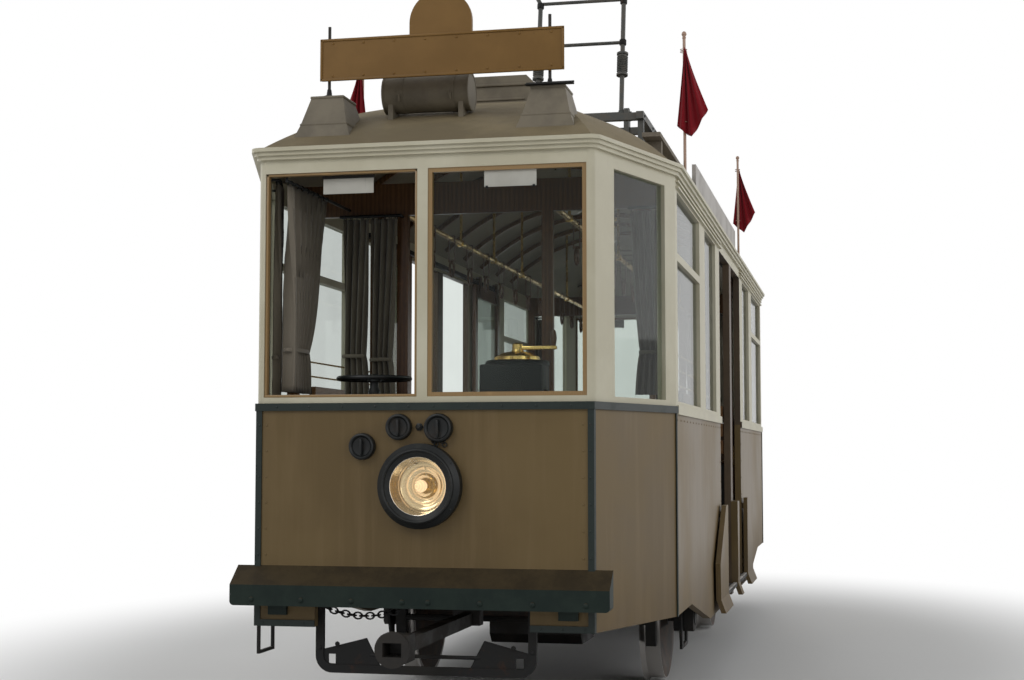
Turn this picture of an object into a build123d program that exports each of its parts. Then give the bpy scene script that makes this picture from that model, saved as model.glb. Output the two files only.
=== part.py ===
from build123d import *
import os
from math import atan2, cos, degrees, hypot, radians, sin

os.makedirs("parts", exist_ok=True)

# Two-axle centre-entrance tram, millimetres. X across, +X the car's right side seen from the front,
# -Y the front, +Z up. The origin is the middle of the car at the lowest point of the wheel flanges.

# Body plan
BODY_HALF_WIDTH = 1075
BODY_HALF_LENGTH = 4196
END_NARROWING = 277
TAPER_LENGTH = 839
WALL = 45
FRONT_HALF_WIDTH = BODY_HALF_WIDTH - END_NARROWING
SIDE_Y = BODY_HALF_LENGTH - TAPER_LENGTH
IN_SIDE_X = BODY_HALF_WIDTH - WALL

# Wheels and axles
HALF_WHEELBASE = 1500
WHEEL_RADIUS = 380
FLANGE = 20
FLANGE_THICK = 28
TREAD_WIDTH = 90
RIM_DEPTH = 62
WEB_FOOT = 60
BOSS_RADIUS = 105
BOSS_LENGTH = 125
WHEEL_INSET = 395
AXLE_RADIUS = 62
JOURNAL_RADIUS = 45
BEARING_GAP = 0.08
WHEEL_BACK = BODY_HALF_WIDTH - WHEEL_INSET
AXLE_Z = WHEEL_RADIUS + FLANGE

# Heights, built up from the top of the wheels
WHEEL_HEADROOM = 80
FLOOR_THICK = 40
FRAME_DEPTH = 105
PANEL_DROP = 310
SKIRT_DROP = 489
BELT_RISE = 705
SILL_HEIGHT = 45
WINDOW_HEIGHT = 1060
HEADER_HEIGHT = 65
CORNICE_HEIGHT = 55
FLOOR_TOP = 2 * AXLE_Z + WHEEL_HEADROOM
FLOOR_UNDER = FLOOR_TOP - FLOOR_THICK
FRAME_UNDER = FLOOR_UNDER - FRAME_DEPTH
END_PANEL_BOTTOM = FLOOR_TOP - PANEL_DROP
SKIRT_BOTTOM = FLOOR_TOP - SKIRT_DROP
BELT_JOINT = FLOOR_TOP + BELT_RISE
SILL_TOP = BELT_JOINT + SILL_HEIGHT
WINDOW_TOP = SILL_TOP + WINDOW_HEIGHT
WALL_TOP = WINDOW_TOP + HEADER_HEIGHT
CORNICE_TOP = WALL_TOP + CORNICE_HEIGHT

# Windows and doorways, as distances from the middle of the car
MULLION_HALF = 25
FRONT_POST = 28
CORNER_WINDOW = (215, 765)
CORNER_POST_ROUND = 45
DOORWAY = (75, 855)
POCKET_POST = 281
POCKET_WINDOW_WIDTH = 690
WINDOW_POST = 310
END_POST = 91
FANLIGHT_HEIGHT = 310
TRANSOM = 40
GLASS = 6
GLASS_INSET = 20
TRIM_WIDTH = 20
TRIM_DEPTH = 30
FRONT_WINDOW_EDGE = FRONT_HALF_WIDTH - FRONT_POST
POCKET_WINDOW = (DOORWAY[1] + POCKET_POST, DOORWAY[1] + POCKET_POST + POCKET_WINDOW_WIDTH)
SALOON_WINDOW = (POCKET_WINDOW[1] + WINDOW_POST, SIDE_Y - END_POST)
TRANSOM_Z = (WINDOW_TOP - FANLIGHT_HEIGHT - TRANSOM, WINDOW_TOP - FANLIGHT_HEIGHT)

# Openings of the side: near edge, far edge, bottom, top
SIDE_WINDOWS = (
    (*SALOON_WINDOW, SILL_TOP, TRANSOM_Z[0]),
    (*SALOON_WINDOW, TRANSOM_Z[1], WINDOW_TOP),
    (*POCKET_WINDOW, SILL_TOP, WINDOW_TOP),
)

# Side skirt: how far past the axle it starts to rise and ends rising
SKIRT_RISE = (146, 1186)

# Bands and mouldings
BELT_HEIGHT = 35
BELT_PROUD = 12
STRIP_WIDTH = 24
STRIP_WRAP = 12
STRIP_PROUD = 7
SIDE_BELT_HEIGHT = 45
GUTTER_PROUD = 16
GUTTER_HEIGHT = 10
GUTTER_RISE = (12, 40)
CORNICE_STEPS = (18, 30, 42)
CORNICE_ROUND = 60

# Roof
ROOF_RISE = 480
ROOF_CREST = 25
ROOF_END_RUN = 1900
ROOF_TAPER_RUN = 1400
ROOF_THICK = 30

# Cross beams of the underframe, as distances from the middle of the car
BEAM_HALF = 30
BEAM_FROM_DOOR = 50
BEAM_PAST_WHEEL = 450
BEAM_FROM_TAPER = 57
SOLEBAR_FROM_WHEEL = 205
SOLEBAR_WIDTH = 62
CROSS_BEAMS = (
    DOORWAY[1] + BEAM_FROM_DOOR,
    HALF_WHEELBASE + AXLE_Z + BEAM_PAST_WHEEL,
    SIDE_Y - BEAM_FROM_TAPER,
)
SOLEBAR_X = (WHEEL_BACK + SOLEBAR_FROM_WHEEL, WHEEL_BACK + SOLEBAR_FROM_WHEEL + SOLEBAR_WIDTH)
CENTRE_SILL_X = (300, 360)

# Notch in the dash for the coupler
NOTCH_HALF = 508
NOTCH_HEIGHT = 150
NOTCH_TOP = END_PANEL_BOTTOM + NOTCH_HEIGHT

# Bumper
BUMPER_REACH = 105
BUMPER_SPREAD = (97, 88)
BUMPER_RISE = 102
BUMPER_FACE = 95
BUMPER_SLOPE = 83
BUMPER_PLATE = 10
BUMPER_ROUND = 20
BUMPER_BACK_HALF = FRONT_HALF_WIDTH + BUMPER_SPREAD[0]
BUMPER_FRONT_HALF = FRONT_HALF_WIDTH + BUMPER_SPREAD[1]
BUMPER_BOTTOM = END_PANEL_BOTTOM + BUMPER_RISE
BUMPER_FOLD = BUMPER_BOTTOM + BUMPER_FACE
BUMPER_TOP = BUMPER_FOLD + BUMPER_SLOPE

# Doors: the leaf slides in a pocket inside the side panel
LEAF_THICK = 30
LEAF_GAP = 15
LEAF_WIDTH = 840
LEAF_STILE = 70
LEAF_TOP_RAIL = 100
LEAF_SETBACK = 60
LEAF_DROP = 380
LEAF_HEADROOM = 10
RAIL_GAP = 12
RAIL_DEPTH = 28
POCKET_CLEARANCE = 45
LEAF_X = (IN_SIDE_X - LEAF_GAP - LEAF_THICK, IN_SIDE_X - LEAF_GAP)
LEAF_Y = (DOORWAY[1] + LEAF_SETBACK, DOORWAY[1] + LEAF_SETBACK + LEAF_WIDTH)
LEAF_BOTTOM = FLOOR_TOP - LEAF_DROP
LEAF_TOP = WINDOW_TOP + LEAF_HEADROOM
LEAF_GLASS_Z = (SILL_TOP + LEAF_HEADROOM, LEAF_TOP - LEAF_TOP_RAIL)
DOOR_RAIL_Z = (LEAF_TOP + RAIL_GAP, LEAF_TOP + RAIL_GAP + RAIL_DEPTH)
POCKET_EDGE = LEAF_X[0] - LEAF_GAP
POCKET_END = LEAF_Y[1] + POCKET_CLEARANCE

# Partition between cab and saloon
PARTITION_SETBACK = 177
PARTITION_THICK = 35
PARTITION_Y = SIDE_Y - PARTITION_SETBACK


def block(x0, x1, y0, y1, z0, z1):
    """Box between three pairs of coordinates."""
    centre = Pos((x0 + x1) / 2, (y0 + y1) / 2, (z0 + z1) / 2)
    return centre * Box(abs(x1 - x0), abs(y1 - y0), abs(z1 - z0))


def prism(points, z0, z1):
    """Upright prism on a plan outline."""
    return Pos(0, 0, z0) * extrude(make_face(Polyline(*points, close=True)), amount=z1 - z0)


def side_plate(points, x0, x1):
    """Plate square to X, cut to an outline of (y, z) points."""
    face = make_face(Polyline(*points, close=True))
    plane = Plane(origin=((x0 + x1) / 2, 0, 0), x_dir=(0, 1, 0), z_dir=(1, 0, 0))
    return extrude(plane * face, amount=abs(x1 - x0) / 2, both=True)


def end_plate(points, y0, y1):
    """Plate square to Y, cut to an outline of (x, z) points."""
    face = make_face(Polyline(*points, close=True))
    plane = Plane(origin=(0, (y0 + y1) / 2, 0), x_dir=(1, 0, 0), z_dir=(0, -1, 0))
    return extrude(plane * face, amount=abs(y1 - y0) / 2, both=True)


def bar(start, end, radius):
    """Eight-sided bar between two points."""
    run = Vector(*end) - Vector(*start)
    section = Plane(origin=start, z_dir=run.normalized()) * RegularPolygon(radius, 8)
    return extrude(section, amount=run.length)


def drum(profile, centre):
    """Turned piece about a line along Y, from (distance back, radius) points."""
    face = make_face(Polyline(*profile, close=True))
    turned = revolve(Plane(origin=(0, 0, 0), x_dir=(0, 1, 0), z_dir=(1, 0, 0)) * face, axis=Axis.Y)
    return Pos(*centre) * turned


def disc(x0, x1, y, z, radius):
    """Round plate with its axis along X."""
    return Pos((x0 + x1) / 2, y, z) * Rot(0, 90, 0) * Cylinder(radius, abs(x1 - x0))


def left_too(shape):
    """The shape and its mirror image on the other side of the car."""
    return [shape, mirror(shape, about=Plane.YZ)]


def rear_too(shape):
    """The shape and the same piece at the other end, turned half round."""
    return [shape, Rot(0, 0, 180) * shape]


def all_corners(shape):
    """The shape on both sides of both ends."""
    return [copy for side in left_too(shape) for copy in rear_too(side)]


def at_wheels(shape):
    """The shape, made about Y = 0, on both sides of both axles."""
    places = (-HALF_WHEELBASE, HALF_WHEELBASE)
    return [copy for y in places for copy in left_too(Pos(0, y, 0) * shape)]


def together(pieces):
    """Pieces of one node that stay separate solids."""
    solids = [solid for piece in pieces for solid in piece.solids()]
    return Compound(children=solids)


def outline(inset):
    """Corner positions of the body plan moved inwards: end x, end y, side x, side y."""
    narrowing = BODY_HALF_WIDTH - FRONT_HALF_WIDTH
    slant = hypot(TAPER_LENGTH, narrowing)
    nx = TAPER_LENGTH / slant
    ny = narrowing / slant
    reach = nx * FRONT_HALF_WIDTH + ny * BODY_HALF_LENGTH - inset
    side_x = BODY_HALF_WIDTH - inset
    end_y = BODY_HALF_LENGTH - inset
    end_x = (reach - ny * end_y) / nx
    side_y = (reach - nx * side_x) / ny
    return end_x, end_y, side_x, side_y


def plan_points(inset):
    """The whole body plan moved inwards, as eight points."""
    end_x, end_y, side_x, side_y = outline(inset)
    right = [(end_x, -end_y), (side_x, -side_y), (side_x, side_y), (end_x, end_y)]
    return right + [(-x, y) for x, y in reversed(right)]


def plan_ring(outer, inner, z0, z1):
    """Ring that follows the body plan, with its outside corners rounded."""
    face = fillet(make_face(Polyline(*plan_points(outer), close=True)).vertices(), CORNICE_ROUND)
    ring = extrude(face, amount=z1 - z0)
    return Pos(0, 0, z0) * ring - prism(plan_points(inner), z0, z1)


END_X, END_Y, SIDE_X, _ = outline(0)
IN_END_X, IN_END_Y, _, IN_SIDE_Y = outline(WALL)
TAPER_SLANT = hypot(TAPER_LENGTH, END_NARROWING)


def taper_point(along, depth):
    """Plan point on the right front tapered corner, along it from its front edge, depth inwards."""
    dx = END_NARROWING / TAPER_SLANT
    dy = TAPER_LENGTH / TAPER_SLANT
    return (FRONT_HALF_WIDTH + along * dx - depth * dy, -BODY_HALF_LENGTH + along * dy + depth * dx)


def on_taper(s0, s1, depth0, depth1, z0, z1):
    """Box set along the right front tapered corner, s from its front edge, depth inwards."""
    middle = Pos((s0 + s1) / 2, (depth0 + depth1) / 2, (z0 + z1) / 2)
    turn = degrees(atan2(TAPER_LENGTH, END_NARROWING))
    corner = Pos(FRONT_HALF_WIDTH, -BODY_HALF_LENGTH, 0) * Rot(0, 0, turn)
    return corner * middle * Box(s1 - s0, abs(depth1 - depth0), z1 - z0)


# Underframe: channel solebars outside the wheels, centre sills between them
SOLEBAR_FLANGE = 12
SOLEBAR_WEB = 10


def make_solebars():
    y0, y1 = -CROSS_BEAMS[2] - BEAM_HALF, -CROSS_BEAMS[0] + BEAM_HALF
    channel = block(*SOLEBAR_X, y0, y1, FRAME_UNDER, FLOOR_UNDER)
    channel -= block(SOLEBAR_X[0], SOLEBAR_X[1] - SOLEBAR_WEB, y0, y1,
                     FRAME_UNDER + SOLEBAR_FLANGE, FLOOR_UNDER - SOLEBAR_FLANGE)
    return together(all_corners(channel))


def make_centre_sills():
    reach = END_Y - WALL - 2 * BEAM_HALF
    return together(left_too(block(*CENTRE_SILL_X, -reach, reach, FRAME_UNDER, FLOOR_UNDER)))


# Cross beams: each in three lengths between the sills, seated in the solebars, and a headstock at each end
HEADSTOCK_SPREAD = 120


def make_cross_beams():
    z0, z1 = FRAME_UNDER + SOLEBAR_FLANGE, FLOOR_UNDER - SOLEBAR_FLANGE
    beams = []
    for y in CROSS_BEAMS:
        outer = block(CENTRE_SILL_X[1], SOLEBAR_X[1] - SOLEBAR_WEB, -y - BEAM_HALF, -y + BEAM_HALF, z0, z1)
        middle = block(-CENTRE_SILL_X[0], CENTRE_SILL_X[0], -y - BEAM_HALF, -y + BEAM_HALF, z0, z1)
        beams += all_corners(outer) + rear_too(middle)
    half = NOTCH_HALF + HEADSTOCK_SPREAD
    y0 = -END_Y + WALL
    headstock = block(-half, half, y0, y0 + 2 * BEAM_HALF, FRAME_UNDER, FLOOR_UNDER)
    return together(beams + rear_too(headstock))


# Floor plate with the two entrance wells and the door pockets left open
STEP_INSET = (665, 375)
WELL_GAP = 5
STEP_X = (BODY_HALF_WIDTH - STEP_INSET[0], BODY_HALF_WIDTH - STEP_INSET[1])


def make_floor():
    floor = prism(plan_points(WALL), FLOOR_UNDER, FLOOR_TOP)
    well = DOORWAY[1] + WELL_GAP
    cuts = left_too(block(STEP_X[0], BODY_HALF_WIDTH, -well, well, FLOOR_UNDER, FLOOR_TOP))
    cuts += left_too(block(POCKET_EDGE, BODY_HALF_WIDTH, -POCKET_END, POCKET_END, FLOOR_UNDER, FLOOR_TOP))
    for cut in cuts:
        floor -= cut
    return floor


# Two-step entrance well on each side, with treads that run out between the shields
STEP_RISE = 200
STEP_THICK = 20
STEP_NOSE = 12
BOARD_INSET = 6
RISER = 8
CHEEK = 10
SHIELD_GAP = 15
SHIELD_THICK = 30
STEP_HIGH = FLOOR_TOP - STEP_RISE
STEP_LOW = STEP_HIGH - STEP_RISE


def make_steps():
    half = DOORWAY[1] - WELL_GAP
    board_edge = BODY_HALF_WIDTH + SHIELD_GAP + SHIELD_THICK - BOARD_INSET
    x0, x1 = STEP_X
    low, high = STEP_LOW - STEP_THICK, STEP_HIGH - STEP_THICK
    well = block(x1, IN_SIDE_X - BOARD_INSET, -half, half, low, STEP_LOW)
    well += block(x0, x1 + STEP_NOSE, -half, half, high, STEP_HIGH)
    well += block(x1 - RISER, x1, -half, half, low, STEP_HIGH)
    well += block(x0 - RISER, x0, -half, half, high, FLOOR_UNDER)
    for sign in (-1, 1):
        y0, y1 = sorted((sign * (DOORWAY[0] + WELL_GAP), sign * half))
        well += block(IN_SIDE_X - 20, board_edge, y0, y1, low, STEP_LOW)
        y0, y1 = sorted((sign * half, sign * (half + CHEEK)))
        well += block(x0 - RISER, POCKET_EDGE, y0, y1, high, FLOOR_UNDER)
        well += block(x1 - RISER, POCKET_EDGE, y0, y1, low, STEP_HIGH)
    return together(left_too(well))


# Flat front panel under the windows, notched for the coupler and bored for the lamp
LAMP_DROP = 365
LAMP_Z = BELT_JOINT - LAMP_DROP
LAMP_RING_RADIUS = 195
LAMP_BOWL_RADIUS = 160
LAMP_LENS_RADIUS = 132


def make_dash():
    points = [(-END_X, -END_Y), (END_X, -END_Y), (IN_END_X, -IN_END_Y), (-IN_END_X, -IN_END_Y)]
    dash = prism(points, END_PANEL_BOTTOM, BELT_JOINT)
    dash -= block(-NOTCH_HALF, NOTCH_HALF, -END_Y, -IN_END_Y, END_PANEL_BOTTOM, NOTCH_TOP)
    bore = Pos(0, -END_Y, LAMP_Z) * Rot(90, 0, 0) * Cylinder(LAMP_BOWL_RADIUS, 4 * WALL)
    return together(rear_too(dash - bore))


def make_corner_panels():
    points = [(END_X, -END_Y), (SIDE_X, -SIDE_Y), (IN_SIDE_X, -IN_SIDE_Y), (IN_END_X, -IN_END_Y)]
    return together(all_corners(prism(points, END_PANEL_BOTTOM, BELT_JOINT)))


# Side panels: raised at the ends, dropped between the wheels and the entrance
def make_side_panels():
    plan = [(SIDE_X, -SIDE_Y), (SIDE_X, -DOORWAY[1]), (IN_SIDE_X, -DOORWAY[1]), (IN_SIDE_X, -IN_SIDE_Y)]
    panel = prism(plan, SKIRT_BOTTOM, BELT_JOINT)
    rise_start, rise_end = (-HALF_WHEELBASE - past for past in SKIRT_RISE)
    shape = [(-END_Y, END_PANEL_BOTTOM), (rise_end, END_PANEL_BOTTOM), (rise_start, SKIRT_BOTTOM),
             (-DOORWAY[1], SKIRT_BOTTOM), (-DOORWAY[1], BELT_JOINT), (-END_Y, BELT_JOINT)]
    return together(all_corners(panel & side_plate(shape, IN_SIDE_X, SIDE_X)))


# Side window frame: posts, sill, header and transoms in one, with the centre post down to the step
SHIELD_DROP = 80
SHIELD_BOTTOM = STEP_LOW - SHIELD_DROP


def make_wall_frame():
    plan = [(SIDE_X, -SIDE_Y), (SIDE_X, SIDE_Y), (IN_SIDE_X, IN_SIDE_Y), (IN_SIDE_X, -IN_SIDE_Y)]
    wall = prism(plan, BELT_JOINT, WALL_TOP)
    for near, far, z0, z1 in SIDE_WINDOWS + ((*DOORWAY, BELT_JOINT, WINDOW_TOP),):
        for y0, y1 in ((near, far), (-far, -near)):
            wall -= block(IN_SIDE_X, SIDE_X, y0, y1, z0, z1)
    wall += block(IN_SIDE_X, SIDE_X, -DOORWAY[0], DOORWAY[0], SHIELD_BOTTOM, BELT_JOINT)
    return wall


# End window frame: two front windows and one in each tapered corner, round posts between them
def make_end_frame():
    outer = [(SIDE_X, -SIDE_Y), (END_X, -END_Y)]
    inner = [(IN_END_X, -IN_END_Y), (IN_SIDE_X, -IN_SIDE_Y)]
    points = outer + [(-x, y) for x, y in reversed(outer)] + [(-x, y) for x, y in reversed(inner)] + inner
    frame = prism(points, BELT_JOINT, WALL_TOP)
    corners = frame.edges().filter_by(Axis.Z).sort_by(Axis.Y)[:2]
    frame = fillet(corners, CORNER_POST_ROUND)
    holes = left_too(block(MULLION_HALF, FRONT_WINDOW_EDGE, -END_Y, -IN_END_Y, SILL_TOP, WINDOW_TOP))
    holes += left_too(on_taper(*CORNER_WINDOW, -WALL, 2 * WALL, SILL_TOP, WINDOW_TOP))
    for hole in holes:
        frame -= hole
    return frame


# Panes: closed cab window on the car's right, corner and side windows; the open one is down in its pocket
def make_window_glass():
    y0 = -END_Y + GLASS_INSET
    closed = block(MULLION_HALF + TRIM_WIDTH, FRONT_WINDOW_EDGE - TRIM_WIDTH, y0, y0 + GLASS,
                   SILL_TOP + TRIM_WIDTH, WINDOW_TOP - TRIM_WIDTH)
    corner = on_taper(*CORNER_WINDOW, GLASS_INSET, GLASS_INSET + GLASS, SILL_TOP, WINDOW_TOP)
    panes = rear_too(closed) + all_corners(corner)
    x0 = SIDE_X - GLASS_INSET - GLASS
    for near, far, z0, z1 in SIDE_WINDOWS:
        panes += all_corners(block(x0, x0 + GLASS, -far, -near, z0, z1))
    return together(panes)


def make_window_trims():
    y0 = -END_Y + GLASS_INSET - TRIM_DEPTH / 2
    trim = block(MULLION_HALF, FRONT_WINDOW_EDGE, y0, y0 + TRIM_DEPTH, SILL_TOP, WINDOW_TOP)
    trim -= block(MULLION_HALF + TRIM_WIDTH, FRONT_WINDOW_EDGE - TRIM_WIDTH, y0, y0 + TRIM_DEPTH,
                  SILL_TOP + TRIM_WIDTH, WINDOW_TOP - TRIM_WIDTH)
    return together(rear_too(trim))


# Bumper: folded plate with a sloping top, its ends raked in, carried on two brackets off the dash
BRACKET_X = (640, 730)
BRACKET_DROP = 48
BRACKET_THICK = 20


def bumper_wedge(gap):
    front = -END_Y - BUMPER_REACH + gap
    plan = [(-BUMPER_BACK_HALF + gap, -END_Y), (BUMPER_BACK_HALF - gap, -END_Y),
            (BUMPER_FRONT_HALF - gap, front), (-BUMPER_FRONT_HALF + gap, front)]
    shape = [(-END_Y, BUMPER_BOTTOM), (-END_Y, BUMPER_TOP - gap),
             (front, BUMPER_FOLD - gap), (front, BUMPER_BOTTOM)]
    wedge = prism(plan, BUMPER_BOTTOM, BUMPER_TOP)
    return wedge & side_plate(shape, -BUMPER_FRONT_HALF, BUMPER_FRONT_HALF)


def bumper_plate():
    face = end_plate([(-BUMPER_FRONT_HALF, BUMPER_BOTTOM), (BUMPER_FRONT_HALF, BUMPER_BOTTOM),
                      (BUMPER_FRONT_HALF, BUMPER_TOP), (-BUMPER_FRONT_HALF, BUMPER_TOP)],
                     -END_Y - BUMPER_REACH, -END_Y)
    lower = face.edges().filter_by(Axis.Y).sort_by(Axis.Z)[:2]
    return (bumper_wedge(0) - bumper_wedge(BUMPER_PLATE)) & fillet(lower, BUMPER_ROUND)


def make_bumpers():
    front = -END_Y - BUMPER_REACH + BUMPER_PLATE / 2
    top = BUMPER_BOTTOM + BUMPER_PLATE
    bracket = block(*BRACKET_X, front, -END_Y, BUMPER_BOTTOM, top)
    bracket += block(*BRACKET_X, -END_Y - BRACKET_THICK, -END_Y, BUMPER_BOTTOM - BRACKET_DROP, top)
    bumper = bumper_plate()
    for piece in left_too(bracket):
        bumper += piece
    return together(rear_too(bumper))


# Dark bands: belt round each end, the strips over the corner joints and the edging along the dash's foot
EDGE_HEIGHT = 30


def make_green_bands():
    low = BELT_JOINT - BELT_HEIGHT / 2
    out_end_x, out_end_y, out_side_x, out_side_y = outline(-BELT_PROUD)
    right = [(END_X, -END_Y), (SIDE_X, -SIDE_Y), (out_side_x, -out_side_y), (out_end_x, -out_end_y)]
    band = prism(right + [(-x, y) for x, y in reversed(right)], low, low + BELT_HEIGHT)
    corner_x, corner_y, _, _ = outline(-STRIP_PROUD)
    near = END_X - STRIP_WIDTH
    strip = prism([(near, -END_Y), (near, -corner_y), (corner_x, -corner_y),
                   taper_point(STRIP_WRAP, -STRIP_PROUD), taper_point(STRIP_WRAP, 0), (END_X, -END_Y)],
                  END_PANEL_BOTTOM, low)
    strip += block(NOTCH_HALF, near, -corner_y, -END_Y, END_PANEL_BOTTOM, END_PANEL_BOTTOM + EDGE_HEIGHT)
    seam = on_taper(TAPER_SLANT - STRIP_WRAP, TAPER_SLANT, -STRIP_PROUD, 0, END_PANEL_BOTTOM, low)
    for piece in left_too(strip - bumper_plate()) + left_too(seam):
        band += piece
    return together(rear_too(band))


# Cream mouldings of the side: belt moulding and two rain gutters over the windows
def make_side_mouldings():
    low = BELT_JOINT - SIDE_BELT_HEIGHT / 2
    pieces = [block(SIDE_X, SIDE_X + BELT_PROUD, -SIDE_Y + 10, -DOORWAY[1], low, low + SIDE_BELT_HEIGHT)]
    gutter_x = SIDE_X + GUTTER_PROUD
    for rise in GUTTER_RISE:
        z = WINDOW_TOP + rise
        pieces.append(block(SIDE_X, gutter_x, -SIDE_Y + 30, -DOORWAY[1] + 20, z, z + GUTTER_HEIGHT))
    return together([copy for piece in pieces for copy in all_corners(piece)])


def make_cornice():
    step = CORNICE_HEIGHT / len(CORNICE_STEPS)
    cornice = None
    for row, out in enumerate(CORNICE_STEPS):
        ring = plan_ring(-out, WALL, WALL_TOP + row * step, WALL_TOP + (row + 1) * step)
        cornice = ring if cornice is None else cornice + ring
    return cornice


# Roof: a barrel arch, with arcs that rise from the ends and the tapered corners and cut it down to a dome
def roof_body(inset, rise):
    end_x, end_y, side_x, _ = outline(inset)
    crest = rise + ROOF_CREST
    across = Plane(origin=(0, 0, CORNICE_TOP), x_dir=(1, 0, 0), z_dir=(0, -1, 0))
    along = Plane(origin=(0, 0, CORNICE_TOP), x_dir=(0, 1, 0), z_dir=(1, 0, 0))
    arch = make_face([ThreePointArc((-side_x, 0), (0, rise), (side_x, 0)), Line((side_x, 0), (-side_x, 0))])
    body = extrude(across * arch, end_y, both=True)
    ends = [TangentArc((ROOF_END_RUN - end_y, crest), (-end_y, 0), tangent=(-1, 0)),
            Line((ROOF_END_RUN - end_y, crest), (end_y - ROOF_END_RUN, crest)),
            TangentArc((end_y - ROOF_END_RUN, crest), (end_y, 0), tangent=(1, 0)),
            Line((end_y, 0), (-end_y, 0))]
    body &= extrude(along * make_face(ends), side_x, both=True)
    far = 3 * BODY_HALF_LENGTH
    eave = TangentArc((ROOF_TAPER_RUN, crest), (0, 0), tangent=(-1, 0))
    rest = Polyline((0, 0), (far, 0), (far, crest), (ROOF_TAPER_RUN, crest))
    inward = Vector(-TAPER_LENGTH, END_NARROWING, 0).normalized()
    plane = Plane(origin=(end_x, -end_y, CORNICE_TOP), x_dir=inward, z_dir=inward.cross(Vector(0, 0, 1)))
    wedge = extrude(plane * make_face([eave, rest]), far, both=True)
    for copy in all_corners(wedge):
        body &= copy
    return body


ROOF_SOLID = roof_body(0, ROOF_RISE)
UNDER_ROOF = roof_body(ROOF_THICK, ROOF_RISE - ROOF_THICK)


def roof_height(x, from_end):
    """Height of the roof surface at x, from_end inwards from the body's end."""
    def slope(run, rise, distance):
        radius = (run * run + rise * rise) / (2 * rise)
        back = max(run - distance, 0)
        return CORNICE_TOP + rise - radius + (radius * radius - back * back) ** 0.5

    arch = slope(SIDE_X, ROOF_RISE, SIDE_X - abs(x))
    return min(arch, slope(ROOF_END_RUN, ROOF_RISE + ROOF_CREST, from_end))


# Coupler: drawbar with a ring-faced buffer, a pocket for the link and a pin hole through top and bottom
COUPLER_DROP = 350
COUPLER_REACH = 460
COUPLER_RING_RADIUS = 78
COUPLER_RING_THICK = 18
COUPLER_HEAD = 116
COUPLER_HEAD_LENGTH = 160
COUPLER_POCKET_HALF = (42, 30)
COUPLER_POCKET_DEPTH = 110
COUPLER_PIN_RADIUS = 16
COUPLER_PIN_SETBACK = 62
DRAWBAR = 62
HANGER_HALF = (70, 40)
COUPLER_Z = FLOOR_TOP - COUPLER_DROP


def make_couplers():
    face_y = -END_Y - COUPLER_REACH
    half = COUPLER_HEAD / 2
    back_y = face_y + COUPLER_HEAD_LENGTH
    head = block(-half, half, face_y + COUPLER_RING_THICK, back_y, COUPLER_Z - half, COUPLER_Z + half)
    ring = Pos(0, face_y + COUPLER_RING_THICK / 2, COUPLER_Z) * Rot(90, 0, 0)
    head += ring * Cylinder(COUPLER_RING_RADIUS, COUPLER_RING_THICK)
    across, high = COUPLER_POCKET_HALF
    head -= block(-across, across, face_y, face_y + COUPLER_POCKET_DEPTH, COUPLER_Z - high, COUPLER_Z + high)
    head -= Pos(0, face_y + COUPLER_PIN_SETBACK, COUPLER_Z) * Cylinder(COUPLER_PIN_RADIUS, 2 * COUPLER_HEAD)
    side = DRAWBAR / 2
    anchor = -CROSS_BEAMS[2]
    head += block(-side, side, back_y, anchor, COUPLER_Z - side, COUPLER_Z + side)
    head += block(-HANGER_HALF[0], HANGER_HALF[0], anchor - HANGER_HALF[1], anchor + HANGER_HALF[1],
                  COUPLER_Z - side, FRAME_UNDER + SOLEBAR_FLANGE)
    return together(rear_too(head))


# Lifeguard: bent flat bar hung from the headstock, with pierced gussets in its lower corners and a tie rod
GUARD_HALF = 524
GUARD_BAR = (38, 24)
GUARD_ROUND = 80
GUARD_DROP = 36
GUARD_GAP = 18
GUARD_BOTTOM = SKIRT_BOTTOM - GUARD_DROP
GUARD_SETBACK = WALL + GUARD_GAP
GUSSET_THICK = 12
GUSSET_RISE = (103, 162)
GUSSET_RUN = (225, 300)
GUSSET_HOLE = (22, 58, 41, 86)
TIE_ROD_RISE = 84
TIE_ROD_RADIUS = 9


def make_lifeguards():
    wide, deep = GUARD_BAR
    y0 = -END_Y + GUARD_SETBACK
    y1 = y0 + deep
    frame = None
    for inset in (0, wide):
        half = GUARD_HALF - inset
        low = GUARD_BOTTOM + inset
        plate = end_plate([(-half, low), (half, low), (half, FRAME_UNDER), (-half, FRAME_UNDER)], y0, y1)
        plate = fillet(plate.edges().filter_by(Axis.Y).sort_by(Axis.Z)[:2], GUARD_ROUND - inset)
        frame = plate if frame is None else frame - plate
    corner = 0.4 * GUARD_ROUND
    leg = -GUARD_HALF + wide / 2
    foot = GUARD_BOTTOM + wide / 2
    middle = (y0 + y1) / 2
    g0, g1 = middle - GUSSET_THICK / 2, middle + GUSSET_THICK / 2
    low, high = (GUARD_BOTTOM + rise for rise in GUSSET_RISE)
    gusset = end_plate([(leg, low), (leg + GUSSET_RUN[0], high), (leg + GUSSET_RUN[1], foot),
                        (leg + GUARD_ROUND, foot), (-GUARD_HALF + corner, GUARD_BOTTOM + corner)], g0, g1)
    x0, x1, z0, z1 = GUSSET_HOLE
    inner = -GUARD_HALF + wide
    gusset -= block(inner + x0, inner + x1, g0, g1, GUARD_BOTTOM + z0, GUARD_BOTTOM + z1)
    for piece in left_too(gusset):
        frame += piece
    rod_x = GUARD_HALF - wide - GUSSET_RUN[0]
    rod_z = GUARD_BOTTOM + TIE_ROD_RISE
    frame += bar((-rod_x, middle, rod_z), (rod_x, middle, rod_z), TIE_ROD_RADIUS)
    return together(rear_too(frame))


# Step iron: one bent flat bar under the left corner of each end, from the dash back to the floor
STEP_IRON_INSET = 6
STEP_IRON_THICK = 14
STEP_IRON_RUN = 200
STEP_IRON_DROP = 130
STEP_IRON_BOTTOM = END_PANEL_BOTTOM - STEP_IRON_DROP


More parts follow.
